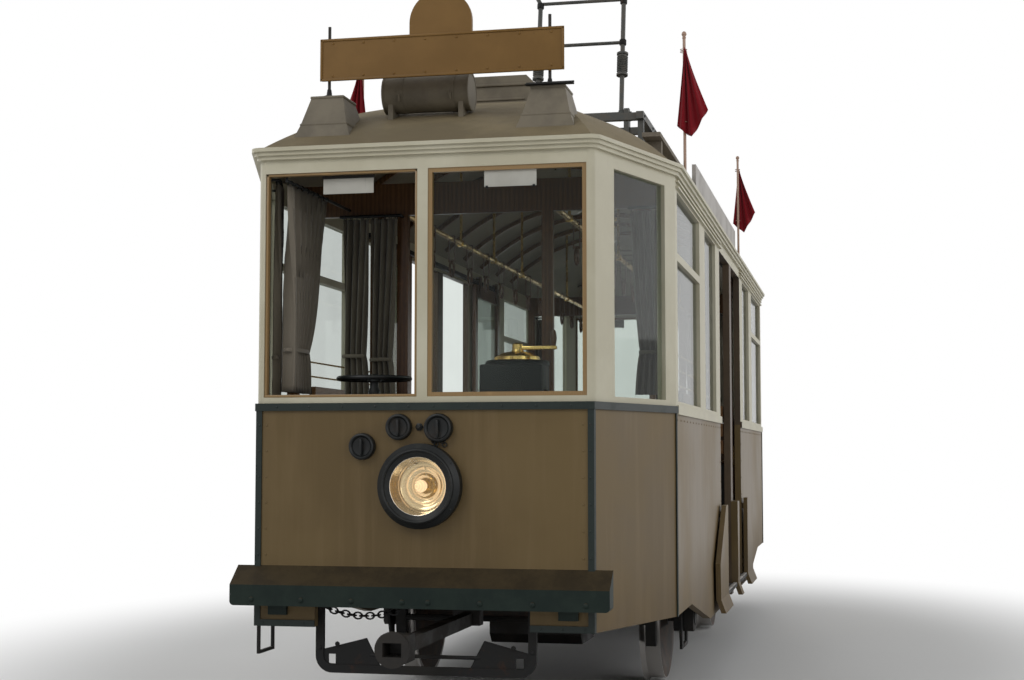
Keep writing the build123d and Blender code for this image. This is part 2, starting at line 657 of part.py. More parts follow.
def make_step_irons():
    y0, y1 = -END_Y + 4, -END_Y + STEP_IRON_RUN
    low, top, foot = STEP_IRON_BOTTOM, FLOOR_UNDER, END_PANEL_BOTTOM
    thick = STEP_IRON_THICK
    shape = [(y0, foot), (y0, low), (y1, low), (y1, top), (y1 - thick, top),
             (y1 - thick, low + thick), (y0 + thick, low + thick), (y0 + thick, foot)]
    x = -FRONT_HALF_WIDTH + STEP_IRON_INSET
    return together(rear_too(side_plate(shape, x, x + thick)))


# Headlamp: bezel and bowl in one turned shell, with its lens
def make_headlamps():
    ring, bowl, lens = LAMP_RING_RADIUS, LAMP_BOWL_RADIUS, LAMP_LENS_RADIUS
    profile = [(0, ring), (-52, ring), (-78, ring - 30), (-64, lens), (-56, lens),
               (40, lens - 20), (86, 0), (96, 0), (60, bowl), (0, bowl)]
    return together(rear_too(drum(profile, (0, -END_Y, LAMP_Z))))


def make_headlamp_lenses():
    lens = LAMP_LENS_RADIUS
    profile = [(-58, lens), (-64, lens), (-80, lens - 50), (-87, 0), (-78, 0)]
    return together(rear_too(drum(profile, (0, -END_Y, LAMP_Z))))


# Round caps on the dash: x, height over the lamp, radius
CAPS = (
    (-280, 181, 62),
    (-105, 270, 61),
    (83, 265, 67),
)
CAP_DEPTH = 42
CAP_BEVEL = 10


def make_signal_caps():
    caps = []
    for x, rise, radius in CAPS:
        profile = [(0, 0), (0, radius), (-CAP_DEPTH + CAP_BEVEL, radius),
                   (-CAP_DEPTH, radius - CAP_BEVEL), (-CAP_DEPTH, 0)]
        caps += rear_too(drum(profile, (x, -END_Y, LAMP_Z + rise)))
    return together(caps)


# Axle guards: W-shaped plates under the solebars, with the jaws the axle boxes sit in
BOX_FROM_WHEEL = 166
BOX_LENGTH = 120
BOX_HALF = 92
BOX_BELOW = 95
BOX_ABOVE = 100
GUARD_PLATE = 16
GUARD_FROM_BOX = 45
AXLE_BOX_X = (WHEEL_BACK + BOX_FROM_WHEEL, WHEEL_BACK + BOX_FROM_WHEEL + BOX_LENGTH)
JAW_CLEARANCE = 4
JAW_CROWN = 30
JAW_TIE = 60
GUARD_LEG = 170
GUARD_STRAP = 24
GUARD_SHOULDER = 330
LIGHT_INSET = 110
LIGHT_MARGIN = 30
GUARD_FOOT = AXLE_Z - GUARD_LEG


def make_axle_guards():
    x0 = AXLE_BOX_X[0] + GUARD_FROM_BOX
    x1 = x0 + GUARD_PLATE
    jaw = BOX_HALF + JAW_CLEARANCE
    crown = AXLE_Z + BOX_ABOVE + JAW_CROWN
    foot = jaw + JAW_TIE
    half = [(GUARD_SHOULDER, FRAME_UNDER), (foot, GUARD_FOOT), (jaw, GUARD_FOOT), (jaw, crown)]
    guard = side_plate(half + [(-y, z) for y, z in reversed(half)], x0, x1)
    edge = jaw + LIGHT_MARGIN
    high = FRAME_UNDER - LIGHT_MARGIN
    light = [(GUARD_SHOULDER - LIGHT_INSET, high), (edge, high), (edge, AXLE_Z + 2 * LIGHT_MARGIN)]
    guard -= side_plate(light, x0, x1)
    guard -= side_plate([(-y, z) for y, z in light], x0, x1)
    guard += block(x0, x1, -foot, foot, GUARD_FOOT - GUARD_STRAP, GUARD_FOOT)
    return together(at_wheels(guard))


# Axle boxes: cast box with chamfered corners, slots for the jaws, a lid and the journal bore
BOX_CHAMFER = 22
LID_RADIUS = 64
LID_THICK = 6
JOURNAL_SETBACK = 26
JAW_SLOT = 14
SLOT_CLEARANCE = 2


def make_axle_boxes():
    x0, x1 = AXLE_BOX_X
    body = block(x0, x1, -BOX_HALF, BOX_HALF, AXLE_Z - BOX_BELOW, AXLE_Z + BOX_ABOVE)
    body = chamfer(body.edges().filter_by(Axis.X), BOX_CHAMFER)
    slot = (x0 + GUARD_FROM_BOX - SLOT_CLEARANCE, x0 + GUARD_FROM_BOX + GUARD_PLATE + SLOT_CLEARANCE)
    for side in (-BOX_HALF, BOX_HALF - JAW_SLOT):
        body -= block(*slot, side, side + JAW_SLOT, AXLE_Z - BOX_BELOW, AXLE_Z + BOX_ABOVE)
    body += bar((x1, 0, AXLE_Z), (x1 + LID_THICK, 0, AXLE_Z), LID_RADIUS)
    body -= disc(x0, x1 - JOURNAL_SETBACK + JAW_CLEARANCE, 0, AXLE_Z, JOURNAL_RADIUS + BEARING_GAP)
    return together(at_wheels(body))


# Leaf springs: each leaf longer than the one under it, its buckle and the two hangers from the solebar
LEAF_COUNT = 4
LEAF_DEPTH = 16
SHORT_LEAF = 190
LEAF_STEP = 100
LEAF_CAMBER = 53
SPRING_X = (SOLEBAR_X[0] + 31, SOLEBAR_X[1] + 11)
BUCKLE_HALF = 34
SPRING_SEAT = 14
LINK_HALF = 12


def make_leaf_springs():
    x0, x1 = SPRING_X
    base = AXLE_Z + BOX_ABOVE
    buckle_top = base + LEAF_COUNT * LEAF_DEPTH + 2 * SPRING_SEAT
    longest = SHORT_LEAF + (LEAF_COUNT - 1) * LEAF_STEP
    plane = Plane(origin=((x0 + x1) / 2, 0, 0), x_dir=(0, 1, 0), z_dir=(1, 0, 0))
    spring = block(x0, x1, -BUCKLE_HALF, BUCKLE_HALF, base, buckle_top)
    for row in range(LEAF_COUNT):
        half = SHORT_LEAF + row * LEAF_STEP
        z = base + SPRING_SEAT + row * LEAF_DEPTH
        tip = z + LEAF_CAMBER * (half / longest) ** 2
        under = ThreePointArc((-half, tip), (0, z), (half, tip))
        over = ThreePointArc((half, tip + LEAF_DEPTH), (0, z + LEAF_DEPTH), (-half, tip + LEAF_DEPTH))
        near = Line((half, tip), (half, tip + LEAF_DEPTH))
        far_end = Line((-half, tip + LEAF_DEPTH), (-half, tip))
        spring += extrude(plane * make_face([under, near, over, far_end]), amount=(x1 - x0) / 2, both=True)
    for y in (LINK_HALF - longest, longest - LINK_HALF):
        spring += block(x0 + 8, x1 - 8, y - LINK_HALF, y + LINK_HALF, tip, FRAME_UNDER)
    return together(at_wheels(spring))


# Brake gear: a shoe on the inner side of each wheel, its hanger and the beams between them
SHOE_GAP = 12
SHOE_DEPTH = 50
SHOE_HALF_WIDTH = 30
SHOE_HALF_HEIGHT = 150
BRAKE_BEAM_RADIUS = 18
BRAKE_BEAM_DROP = 10
CROSS_BAR = (50, 22)
HANGER_HALF_WIDTH = 14
HANGER_THICK = 28


def make_brake_gear():
    tread = WHEEL_RADIUS
    mid = WHEEL_BACK + FLANGE_THICK + TREAD_WIDTH / 2
    back = tread + SHOE_GAP + SHOE_DEPTH
    annulus = extrude(Circle(back) - Circle(tread + SHOE_GAP), amount=SHOE_HALF_WIDTH, both=True)
    shoe = Rot(0, 90, 0) * annulus
    shoe &= block(-SHOE_HALF_WIDTH, SHOE_HALF_WIDTH, 0, back, -SHOE_HALF_HEIGHT, SHOE_HALF_HEIGHT)
    beam_y = back - BRAKE_BEAM_RADIUS
    beam_z = AXLE_Z - BRAKE_BEAM_DROP
    gear = bar((-mid, beam_y, beam_z), (mid, beam_y, beam_z), BRAKE_BEAM_RADIUS)
    wide, deep = CROSS_BAR
    gear += block(-mid, mid, beam_y - wide / 2, beam_y + wide / 2, FRAME_UNDER - deep, FRAME_UNDER)
    for x in (-mid, mid):
        gear += Pos(x, 0, AXLE_Z) * shoe
        gear += block(x - HANGER_HALF_WIDTH, x + HANGER_HALF_WIDTH, beam_y - HANGER_THICK / 2,
                      beam_y + HANGER_THICK / 2, AXLE_Z, FRAME_UNDER)
    return together(rear_too(Pos(0, -HALF_WHEELBASE, 0) * Rot(0, 0, 180) * gear))


# Motors: plain blocks nose-hung between the axle and the cross beam by the entrance
MOTOR_X = (-330, 250)
MOTOR_FROM_AXLE = 33
MOTOR_LENGTH = 545
MOTOR_BELOW = 215
MOTOR_ABOVE = 235
MOTOR_CHAMFER = 60
NOSE_HALF = 90
NOSE_OVERLAP = 80
NOSE_RISE = 100


def make_motors():
    y0 = AXLE_RADIUS + MOTOR_FROM_AXLE
    motor = block(*MOTOR_X, y0, y0 + MOTOR_LENGTH, AXLE_Z - MOTOR_BELOW, AXLE_Z + MOTOR_ABOVE)
    motor = chamfer(motor.edges().filter_by(Axis.X), MOTOR_CHAMFER)
    beam = HALF_WHEELBASE - CROSS_BEAMS[0]
    nose = min(beam, y0 + MOTOR_LENGTH) - NOSE_OVERLAP
    motor += block(-NOSE_HALF, NOSE_HALF, nose, beam + BEAM_HALF, AXLE_Z + NOSE_RISE,
                   FRAME_UNDER + SOLEBAR_FLANGE)
    return together(rear_too(Pos(0, -HALF_WHEELBASE, 0) * motor))


# Wheelset: axle with its journals, and two dished wheels with tapered bosses pressed on it
def make_axle():
    seat = WHEEL_BACK + BOSS_LENGTH
    journal_end = AXLE_BOX_X[1] - JOURNAL_SETBACK
    return disc(-seat, seat, 0, 0, AXLE_RADIUS) + disc(-journal_end, journal_end, 0, 0, JOURNAL_RADIUS)


def make_wheels():
    face = FLANGE_THICK + TREAD_WIDTH
    section = [(0, AXLE_RADIUS), (0, WHEEL_RADIUS + FLANGE), (FLANGE_THICK, WHEEL_RADIUS),
               (face, WHEEL_RADIUS), (face, WHEEL_RADIUS - RIM_DEPTH), (WEB_FOOT, BOSS_RADIUS),
               (BOSS_LENGTH, AXLE_RADIUS)]
    points = [(WHEEL_BACK + x, radius) for x, radius in section]
    plane = Plane(origin=(0, 0, 0), x_dir=(1, 0, 0), z_dir=(0, -1, 0))
    wheel = revolve(plane * make_face(Polyline(*points, close=True)), axis=Axis.X)
    return together(left_too(wheel))


# Sliding door leaf on the right, towards the front, in its parked place
KICK_HEIGHT = (110, 510)
MID_RAIL = 70
PANEL_RECESS = 8
ROLLER_RADIUS = 14
HANGER_WIDTH = 60
HANGER_PLATE = 12
HANGER_LAP = 100
HANGER_FROM_EDGE = 130


def make_leaf():
    x0, x1 = LEAF_X
    y0, y1 = -LEAF_Y[1], -LEAF_Y[0]
    leaf = block(x0, x1, y0, y1, LEAF_BOTTOM, LEAF_TOP)
    leaf -= block(x0, x1, y0 + LEAF_STILE, y1 - LEAF_STILE, *LEAF_GLASS_Z)
    low, high = (LEAF_BOTTOM + height for height in KICK_HEIGHT)
    for z0, z1 in ((low, high), (high + MID_RAIL, LEAF_GLASS_Z[0] - MID_RAIL)):
        leaf -= block(x1 - PANEL_RECESS, x1, y0 + LEAF_STILE, y1 - LEAF_STILE, z0, z1)
    roller_z = DOOR_RAIL_Z[1] + ROLLER_RADIUS + 2
    half = HANGER_WIDTH / 2
    z0, z1 = LEAF_TOP - HANGER_LAP, roller_z + ROLLER_RADIUS
    for y in (y0 + HANGER_FROM_EDGE, y1 - HANGER_FROM_EDGE):
        leaf += block(x0 - HANGER_PLATE, x0, y - half, y + half, z0, z1)
        leaf += bar((x0 - HANGER_PLATE / 2, y, roller_z), (x1, y, roller_z), ROLLER_RADIUS)
    return leaf


def make_leaf_glass():
    middle = sum(LEAF_X) / 2
    near, far = LEAF_Y[0] + LEAF_STILE, LEAF_Y[1] - LEAF_STILE
    return block(middle - GLASS / 2, middle + GLASS / 2, -far, -near, *LEAF_GLASS_Z)


def make_door_rails():
    x0 = LEAF_X[0] + PANEL_RECESS
    return together(left_too(block(x0, IN_SIDE_X, -POCKET_END, POCKET_END, *DOOR_RAIL_Z)))


# Step shields: leaf-shaped plates that stand off the panel beside the entrance, kicked out at the foot
SHIELD_X = (BODY_HALF_WIDTH + SHIELD_GAP, BODY_HALF_WIDTH + SHIELD_GAP + SHIELD_THICK)
SHIELD_HEIGHT = 560
SHIELD_TOP = STEP_LOW + SHIELD_HEIGHT
SHIELD_KICK = 30
SHIELD_REACH = (140, 560, 590)
SHIELD_WAIST = 220
SHIELD_FOOT_RISE = (60, 480)
SHIELD_FOOT_RUN = (30, 90)
SHIELD_FOOT_HEIGHT = 40


def make_step_shields():
    x0, x1 = SHIELD_X
    edge = DOORWAY[1] + 10
    top_reach, foot_reach, widest = SHIELD_REACH

    def lip(y0, y1):
        points = [(x0, STEP_LOW), (x1, STEP_LOW),
                  (x1 + SHIELD_KICK, SHIELD_BOTTOM), (x0 + SHIELD_KICK, SHIELD_BOTTOM)]
        return end_plate(points, y0, y1)

    flank = side_plate([(-edge - top_reach, SHIELD_TOP), (-edge, SHIELD_TOP), (-edge, STEP_LOW),
                        (-edge - foot_reach, STEP_LOW), (-edge - widest, STEP_LOW + SHIELD_WAIST)], x0, x1)
    flank += lip(-edge - foot_reach, -edge)
    near, far = SHIELD_FOOT_RUN
    for rise in SHIELD_FOOT_RISE:
        z = STEP_LOW + rise
        flank += block(SIDE_X, x0, -edge - far, -edge - near, z, z + SHIELD_FOOT_HEIGHT)
    middle = block(SIDE_X, x1, -DOORWAY[0], DOORWAY[0], STEP_LOW, SHIELD_TOP) + lip(-DOORWAY[0], DOORWAY[0])
    return together(all_corners(flank) + left_too(middle))


# Benches along the saloon walls: plank seats and backs on three frames
BENCH_FROM_DOOR = 145
BENCH_FROM_PARTITION = 120
SEAT_HEIGHT = 430
SEAT_DEPTH = 440
SLAT_THICK = 22
SEAT_SLATS = 4
SEAT_SLAT_GAP = 14
BACK_SLATS = 3
BACK_SLAT_HEIGHT = 100
BACK_SLAT_PITCH = 130
BACK_RISE = 60
BENCH_GAP = 8
BENCH_POST = 30
FRAME_HALF = 14
FRAME_FROM_END = 60
FRAME_FOOT = 190
BENCH_NEAR = DOORWAY[1] + BENCH_FROM_DOOR
BENCH_FAR = PARTITION_Y - BENCH_FROM_PARTITION
BENCH_BACK_X = POCKET_EDGE - BENCH_GAP


def make_bench_slats():
    seat_top = FLOOR_TOP + SEAT_HEIGHT
    front = BENCH_BACK_X - BENCH_POST - SLAT_THICK - SEAT_DEPTH
    pitch = (SEAT_DEPTH + SEAT_SLAT_GAP) / SEAT_SLATS
    wide = pitch - SEAT_SLAT_GAP
    slats = []
    for row in range(SEAT_SLATS):
        x = front + row * pitch
        slats.append(block(x, x + wide, -BENCH_FAR, -BENCH_NEAR, seat_top - SLAT_THICK, seat_top))
    for row in range(BACK_SLATS):
        z = seat_top + BACK_RISE + row * BACK_SLAT_PITCH
        x = BENCH_BACK_X - BENCH_POST - SLAT_THICK
        slats.append(block(x, x + SLAT_THICK, -BENCH_FAR, -BENCH_NEAR, z, z + BACK_SLAT_HEIGHT))
    return together([copy for slat in slats for copy in all_corners(slat)])


def make_bench_frames():
    seat_top = FLOOR_TOP + SEAT_HEIGHT
    under = seat_top - SLAT_THICK
    top = seat_top + BACK_RISE + (BACK_SLATS - 1) * BACK_SLAT_PITCH + BACK_SLAT_HEIGHT
    post = BENCH_BACK_X - BENCH_POST
    front = post - SEAT_DEPTH
    near, far = BENCH_NEAR + FRAME_FROM_END, BENCH_FAR - FRAME_FROM_END
    frames = []
    for y in (near, (near + far) / 2, far):
        shape = [(BENCH_BACK_X, FLOOR_TOP), (BENCH_BACK_X, top), (post, top), (post, under),
                 (front, under), (front, under - FRAME_FROM_END), (front + FRAME_FOOT, FLOOR_TOP)]
        frames += all_corners(end_plate(shape, -y - FRAME_HALF, -y + FRAME_HALF))
    return together(frames)


# Cab partitions: panelled below, glazed frame above, open in the middle
PARTITION_GAP = 360
PARTITION_POST = 60
PARTITION_HEADER = 60


def make_partitions():
    y0, y1 = -PARTITION_Y, -PARTITION_Y + PARTITION_THICK
    head = WINDOW_TOP - PARTITION_HEADER
    wall = block(-IN_SIDE_X, IN_SIDE_X, y0, y1, FLOOR_TOP, CORNICE_TOP - 10)
    wall -= block(-PARTITION_GAP, PARTITION_GAP, y0, y1, FLOOR_TOP, head)
    x0, x1 = PARTITION_GAP + PARTITION_POST, IN_SIDE_X - PARTITION_POST
    for light in left_too(block(x0, x1, y0, y1, SILL_TOP + 10, head)):
        wall -= light
    return together(rear_too(wall))


# Controller: half-round case on the floor with a raised top and its crank
CONTROLLER_AT = (380, 330)
CONTROLLER_RADIUS = 150
CONTROLLER_HEIGHT = 940
CONTROLLER_BACK = 160
CONTROLLER_TOP = 40
TOP_INSET = 40
CRANK_REACH = 190
CRANK_HALF = 16
CRANK_THICK = 20
HANDLE_LENGTH = 80


def make_controllers():
    x, y = CONTROLLER_AT[0], -END_Y + CONTROLLER_AT[1]
    top = FLOOR_TOP + CONTROLLER_HEIGHT
    crank_z = top + CONTROLLER_TOP
    grip_x = x + CRANK_REACH - CRANK_HALF
    case = Pos(x, y, FLOOR_TOP + CONTROLLER_HEIGHT / 2) * Cylinder(CONTROLLER_RADIUS, CONTROLLER_HEIGHT)
    case += block(x - CONTROLLER_RADIUS, x + CONTROLLER_RADIUS, y - CONTROLLER_BACK, y, FLOOR_TOP, top)
    case += bar((x, y, top), (x, y, crank_z), CONTROLLER_RADIUS - TOP_INSET)
    grip_z = crank_z + CRANK_THICK
    case += block(x - CRANK_HALF, x + CRANK_REACH, y - CRANK_HALF, y + CRANK_HALF, crank_z, grip_z)
    case += bar((grip_x, y, grip_z), (grip_x, y, grip_z + HANDLE_LENGTH), CRANK_HALF)
    return together(rear_too(case))


# Brake column: upright shaft on a foot, with a spoked hand wheel
BRAKE_AT = (-330, 330)
BRAKE_HEIGHT = 850
HAND_WHEEL_RADIUS = 183
HAND_WHEEL_RIM = 23
HAND_WHEEL_SIDES = 24
SHAFT = 24
SHAFT_FOOT = (70, 30)
SPOKE = (22, 12)


def make_brake_columns():
    x, y = BRAKE_AT[0], -END_Y + BRAKE_AT[1]
    wheel_z = FLOOR_TOP + BRAKE_HEIGHT
    rim = RegularPolygon(HAND_WHEEL_RADIUS, HAND_WHEEL_SIDES)
    rim -= RegularPolygon(HAND_WHEEL_RADIUS - HAND_WHEEL_RIM, HAND_WHEEL_SIDES)
    column = Pos(x, y, wheel_z) * extrude(rim, amount=HAND_WHEEL_RIM / 2, both=True)
    column += bar((x, y, FLOOR_TOP), (x, y, wheel_z + HAND_WHEEL_RIM), SHAFT)
    column += bar((x, y, FLOOR_TOP), (x, y, FLOOR_TOP + SHAFT_FOOT[1]), SHAFT_FOOT[0])
    for turn in (0, 60, 120):
        spoke = Box(2 * HAND_WHEEL_RADIUS - HAND_WHEEL_RIM, *SPOKE)
        column += Pos(x, y, wheel_z) * Rot(0, 0, turn) * spoke
    return together(rear_too(column))


# Curtains of the cab, as plain closed solids: one on the tapered corner, one at the partition
CURTAIN_THICK = 50
CURTAIN_CORNER = (110, 420)
CURTAIN_CROSS_X = (-700, -400)
CURTAIN_GAP = 12


def make_curtains():
    inner = WALL + CURTAIN_GAP
    corner = on_taper(*CURTAIN_CORNER, inner, inner + CURTAIN_THICK, SILL_TOP - 30, WINDOW_TOP - 20)
    back = -PARTITION_Y - 30
    cross = block(*CURTAIN_CROSS_X, back - CURTAIN_THICK, back, SILL_TOP + 30, WINDOW_TOP - 80)
    return together(rear_too(mirror(corner, about=Plane.YZ)) + rear_too(cross))


# Hand rails along the ceiling, held by the partitions
HAND_RAIL_X = 420
HAND_RAIL_RADIUS = 15
HAND_RAIL_DROP = 35


def make_ceiling_rails():
    z = WINDOW_TOP - HAND_RAIL_DROP
    reach = PARTITION_Y - PARTITION_THICK
    return together(left_too(bar((HAND_RAIL_X, -reach, z), (HAND_RAIL_X, reach, z), HAND_RAIL_RADIUS)))


# Walkway planks along the roof, on low cleats; what stands on the roof starts a little under its surface
# and is cut to it
ROOF_SINK = 20
PLANK_INSET = 145
PLANK_WIDTH = 100
PLANK_FROM_END = 1446
PLANK_RISE = 55
PLANK_THICK = 24
CLEATS = 4
CLEAT_HALF = 25
CLEAT_INSET = 10
CLEAT_FROM_END = 150


def make_roof_planks():
    x1 = BODY_HALF_WIDTH - PLANK_INSET
    x0 = x1 - PLANK_WIDTH
    end = END_Y - PLANK_FROM_END
    top = roof_height(x0, SIDE_X) + PLANK_RISE
    plank = block(x0, x1, -end, end, top, top + PLANK_THICK)
    first = CLEAT_FROM_END - end
    pitch = -2 * first / (CLEATS - 1)
    low = roof_height(x1, SIDE_X) - ROOF_SINK
    for row in range(CLEATS):
        y = first + row * pitch
        plank += block(x0 + CLEAT_INSET, x1 - CLEAT_INSET, y - CLEAT_HALF, y + CLEAT_HALF, low, top)
    return together(left_too(plank - ROOF_SOLID))


# Upright blank boards on the roof edge, on iron feet
SIDE_BOARD_INSET = 90
SIDE_BOARD_HALF = 1530
SIDE_BOARD_HEIGHT = 200
SIDE_BOARD_RISE = 40
SIDE_BOARD_FEET = (-1300, -450, 450, 1300)
FOOT_IRON = (18, 15)
BOARD_THICK = 24
SIDE_BOARD_X = BODY_HALF_WIDTH - SIDE_BOARD_INSET


def make_roof_side_boards():
    x = SIDE_BOARD_X
    roof_z = roof_height(x, SIDE_X)
    low = roof_z + SIDE_BOARD_RISE
    top = low + SIDE_BOARD_HEIGHT
    half = BOARD_THICK / 2
    deep, wide = FOOT_IRON
    board = block(x - half, x + half, -SIDE_BOARD_HALF, SIDE_BOARD_HALF, low, top)
    for y in SIDE_BOARD_FEET:
        board += block(x - half - deep, x - half, y - wide, y + wide, roof_z - ROOF_SINK, top)
    return together(left_too(board - ROOF_SOLID))


# Lamp boxes on the front slope of the roof: a flared foot under a tapered box with a flat top
LAMP_BOX_X = 548
LAMP_BOX_FROM_END = 330
LAMP_BOX_HEIGHT = 293
# Height over the cornice, width, depth
LAMP_BOX_SECTIONS = (
    (0, 340, 420),
    (150, 230, 300),
    (LAMP_BOX_HEIGHT, 160, 190),
)
LAMP_BOX_TOP = CORNICE_TOP + LAMP_BOX_HEIGHT


def make_lamp_boxes():
    sections = []
    for rise, wide, deep in LAMP_BOX_SECTIONS:
        origin = (LAMP_BOX_X, -END_Y + LAMP_BOX_FROM_END, CORNICE_TOP + rise)
        sections.append(Plane(origin=origin) * Rectangle(wide, deep))
    box = loft(sections, ruled=True)
    return together(all_corners(box - ROOF_SOLID))


# Drum across the roof on two saddles
TANK_X = (-320, 118)
TANK_FROM_END = 480
TANK_RADIUS = 92
TANK_RISE = 108
SADDLE_INSET = 40
SADDLE_HALF = (12, 70)


def make_roof_tanks():
    y = -END_Y + TANK_FROM_END
    z = roof_height(0, TANK_FROM_END) + TANK_RISE
    tank = disc(*TANK_X, y, z, TANK_RADIUS)
    thick, deep = SADDLE_HALF
    for x in (TANK_X[0] + SADDLE_INSET, TANK_X[1] - SADDLE_INSET):
        tank += block(x - thick, x + thick, y - deep, y + deep, CORNICE_TOP, z)
    return together(rear_too(tank - ROOF_SOLID))


# Resistance case behind the drum
CASE_HALF = 270
CASE_FROM_END = (1250, 1950)
CASE_HEIGHT = 600
CASE_EDGE = 40


def make_roof_cases():
    y0, y1 = (-END_Y + distance for distance in CASE_FROM_END)
    case = block(-CASE_HALF, CASE_HALF, y0, y1, CORNICE_TOP, CORNICE_TOP + CASE_HEIGHT)
    case = chamfer(case.edges().filter_by(Axis.Y).sort_by(Axis.Z)[-2:], CASE_EDGE)
    return together(rear_too(case - ROOF_SOLID))


# Route board on two rods over the lamp boxes, with a round-topped plate above it
BOARD_HALF = 602
BOARD_MIDDLE = 20
BOARD_FROM_END = 250
BOARD_RISE = 82
BOARD_HEIGHT = 200
PLATE_HALF = 155
PLATE_SHOULDER = 60
BOARD_ROD_RADIUS = 8
BOARD_ROD_X = (-547, 552)
BOARD_ROD_TOP = 70


def make_route_boards():
    y = -END_Y + BOARD_FROM_END
    y0, y1 = y - BOARD_THICK / 2, y + BOARD_THICK / 2
    x = BOARD_MIDDLE
    low = LAMP_BOX_TOP + BOARD_RISE
    top = low + BOARD_HEIGHT
    shoulder = top + PLATE_SHOULDER
    left, right = x - PLATE_HALF, x + PLATE_HALF
    board = block(x - BOARD_HALF, x + BOARD_HALF, y0, y1, low, top)
    foot = Polyline((left, shoulder), (left, top), (right, top), (right, shoulder))
    arch = make_face([foot, ThreePointArc((right, shoulder), (x, shoulder + PLATE_HALF), (left, shoulder))])
    plane = Plane(origin=(0, y, 0), x_dir=(1, 0, 0), z_dir=(0, -1, 0))
    board += extrude(plane * arch, amount=BOARD_THICK / 2, both=True)
    for rod_x in BOARD_ROD_X:
        board += bar((rod_x, y1, LAMP_BOX_TOP), (rod_x, y1, top + BOARD_ROD_TOP), BOARD_ROD_RADIUS)
    return together(rear_too(board))


# Collector stand: braced trestle on the crown that carries the bow's bearings
STAND_HALF = (520, 560)
STAND_RISE = 890
STAND_BEAM = 50
STAND_LEG = 40
LEG_INSET = 60
BRACE_RADIUS = 12
BRACE_RISE = 20
PIVOT_RISE = 100
BOW_HALF = 310
SHAFT_RADIUS = 20
BEARING_GAP_X = 24
BEARING_THICK = 36
BEARING_HALF = 45
BEARING_WALL = 40
BEARING_CHAMFER = 18
STAND_TOP = CORNICE_TOP + STAND_RISE
PIVOT_Z = STAND_TOP + PIVOT_RISE
BEARING_X = (BOW_HALF + BEARING_GAP_X, BOW_HALF + BEARING_GAP_X + BEARING_THICK)


def make_collector_stand():
    x, y = STAND_HALF
    leg_y = y - LEG_INSET
    low = STAND_TOP - STAND_BEAM
    roof_z = roof_height(x, SIDE_X)
    beam, post = STAND_BEAM / 2, STAND_LEG / 2
    side = block(x - beam, x + beam, -y, y, low, STAND_TOP)
    for end in (-leg_y, leg_y):
        side += block(x - post, x + post, end - post, end + post, roof_z - ROOF_SINK, low)
        side += bar((x, end, roof_z + BRACE_RISE), (x, 0, low + BRACE_RADIUS), BRACE_RADIUS)
    bearing = block(*BEARING_X, -BEARING_HALF, BEARING_HALF, low, PIVOT_Z + BEARING_WALL)
    bearing = chamfer(bearing.edges().filter_by(Axis.X).sort_by(Axis.Z)[-2:], BEARING_CHAMFER)
    stand = None
    for piece in left_too(side + bearing):
        stand = piece if stand is None else stand + piece
    for across in (-leg_y, 0, leg_y):
        stand += block(-x, x, across - beam, across + beam, low, STAND_TOP)
    stand -= disc(-BEARING_X[1], BEARING_X[1], 0, PIVOT_Z, SHAFT_RADIUS + BEARING_GAP)
    return stand - ROOF_SOLID


# Bow collector: legs on a cross shaft with spring cans and crossbars, splayed out to the contact bar
# and its down-turned horns
BOW_LEAN = 10
BOW_HEIGHT = 1500
BOW_KNEE = 900
BOW_SPLAY = 620
HORN_REACH = (150, 90)
SHAFT_END = 15
HUB_HALF = 16
SPRING_CAN = (320, 460)
BOW_CROSSBARS = (560, 900)
# Radii of leg, splayed arm, spring can, crossbar and contact bar
BOW_RADII = (17, 15, 34, 13, 24)


def make_collector_bow():
    lean = radians(BOW_LEAN)
    leg, arm, can, cross, contact = BOW_RADII

    def at(x, up):
        return (x, up * sin(lean), PIVOT_Z + up * cos(lean))

    shaft = BEARING_X[1] + SHAFT_END
    bow = disc(-shaft, shaft, 0, PIVOT_Z, SHAFT_RADIUS)
    for sign in (-1, 1):
        x = sign * BOW_HALF
        splay = sign * BOW_SPLAY
        bow += bar(at(x, 0), at(x, BOW_KNEE), leg)
        bow += bar(at(x, BOW_KNEE), at(splay, BOW_HEIGHT), arm)
        bow += bar(at(x, SPRING_CAN[0]), at(x, SPRING_CAN[1]), can)
        bow += bar((x - HUB_HALF, 0, PIVOT_Z), (x + HUB_HALF, 0, PIVOT_Z), can)
        bow += bar(at(splay, BOW_HEIGHT), at(splay + sign * HORN_REACH[0], BOW_HEIGHT - HORN_REACH[1]), arm)
    for up in BOW_CROSSBARS:
        bow += bar(at(-BOW_HALF, up), at(BOW_HALF, up), cross)
    return bow + bar(at(-BOW_SPLAY, BOW_HEIGHT), at(BOW_SPLAY, BOW_HEIGHT), contact)


# Flag sticks beyond the side boards' ends, each with a flag that hangs down past it
STICK_FROM_BOARD = 500
STICK_HEIGHT = 900
STICK_RADIUS = 9
FLAG = (185, 545)
FLAG_OVERLAP = 45
FLAG_THICK = 40
FLAG_GAP = 2
FLAG_DROP = 50
STICK_Y = SIDE_BOARD_HALF + STICK_FROM_BOARD


def make_flag_sticks():
    x = SIDE_BOARD_X
    foot = roof_height(x, SIDE_X)
    stick = bar((x, -STICK_Y, foot - ROOF_SINK), (x, -STICK_Y, foot + STICK_HEIGHT), STICK_RADIUS)
    return together(all_corners(stick - ROOF_SOLID))


def make_flags():
    x = SIDE_BOARD_X
    top = roof_height(x, SIDE_X) + STICK_HEIGHT - FLAG_DROP
    near = -STICK_Y - STICK_RADIUS - FLAG_GAP
    flag = block(x - FLAG_OVERLAP, x - FLAG_OVERLAP + FLAG[0], near - FLAG_THICK, near, top - FLAG[1], top)
    return together(all_corners(flag))


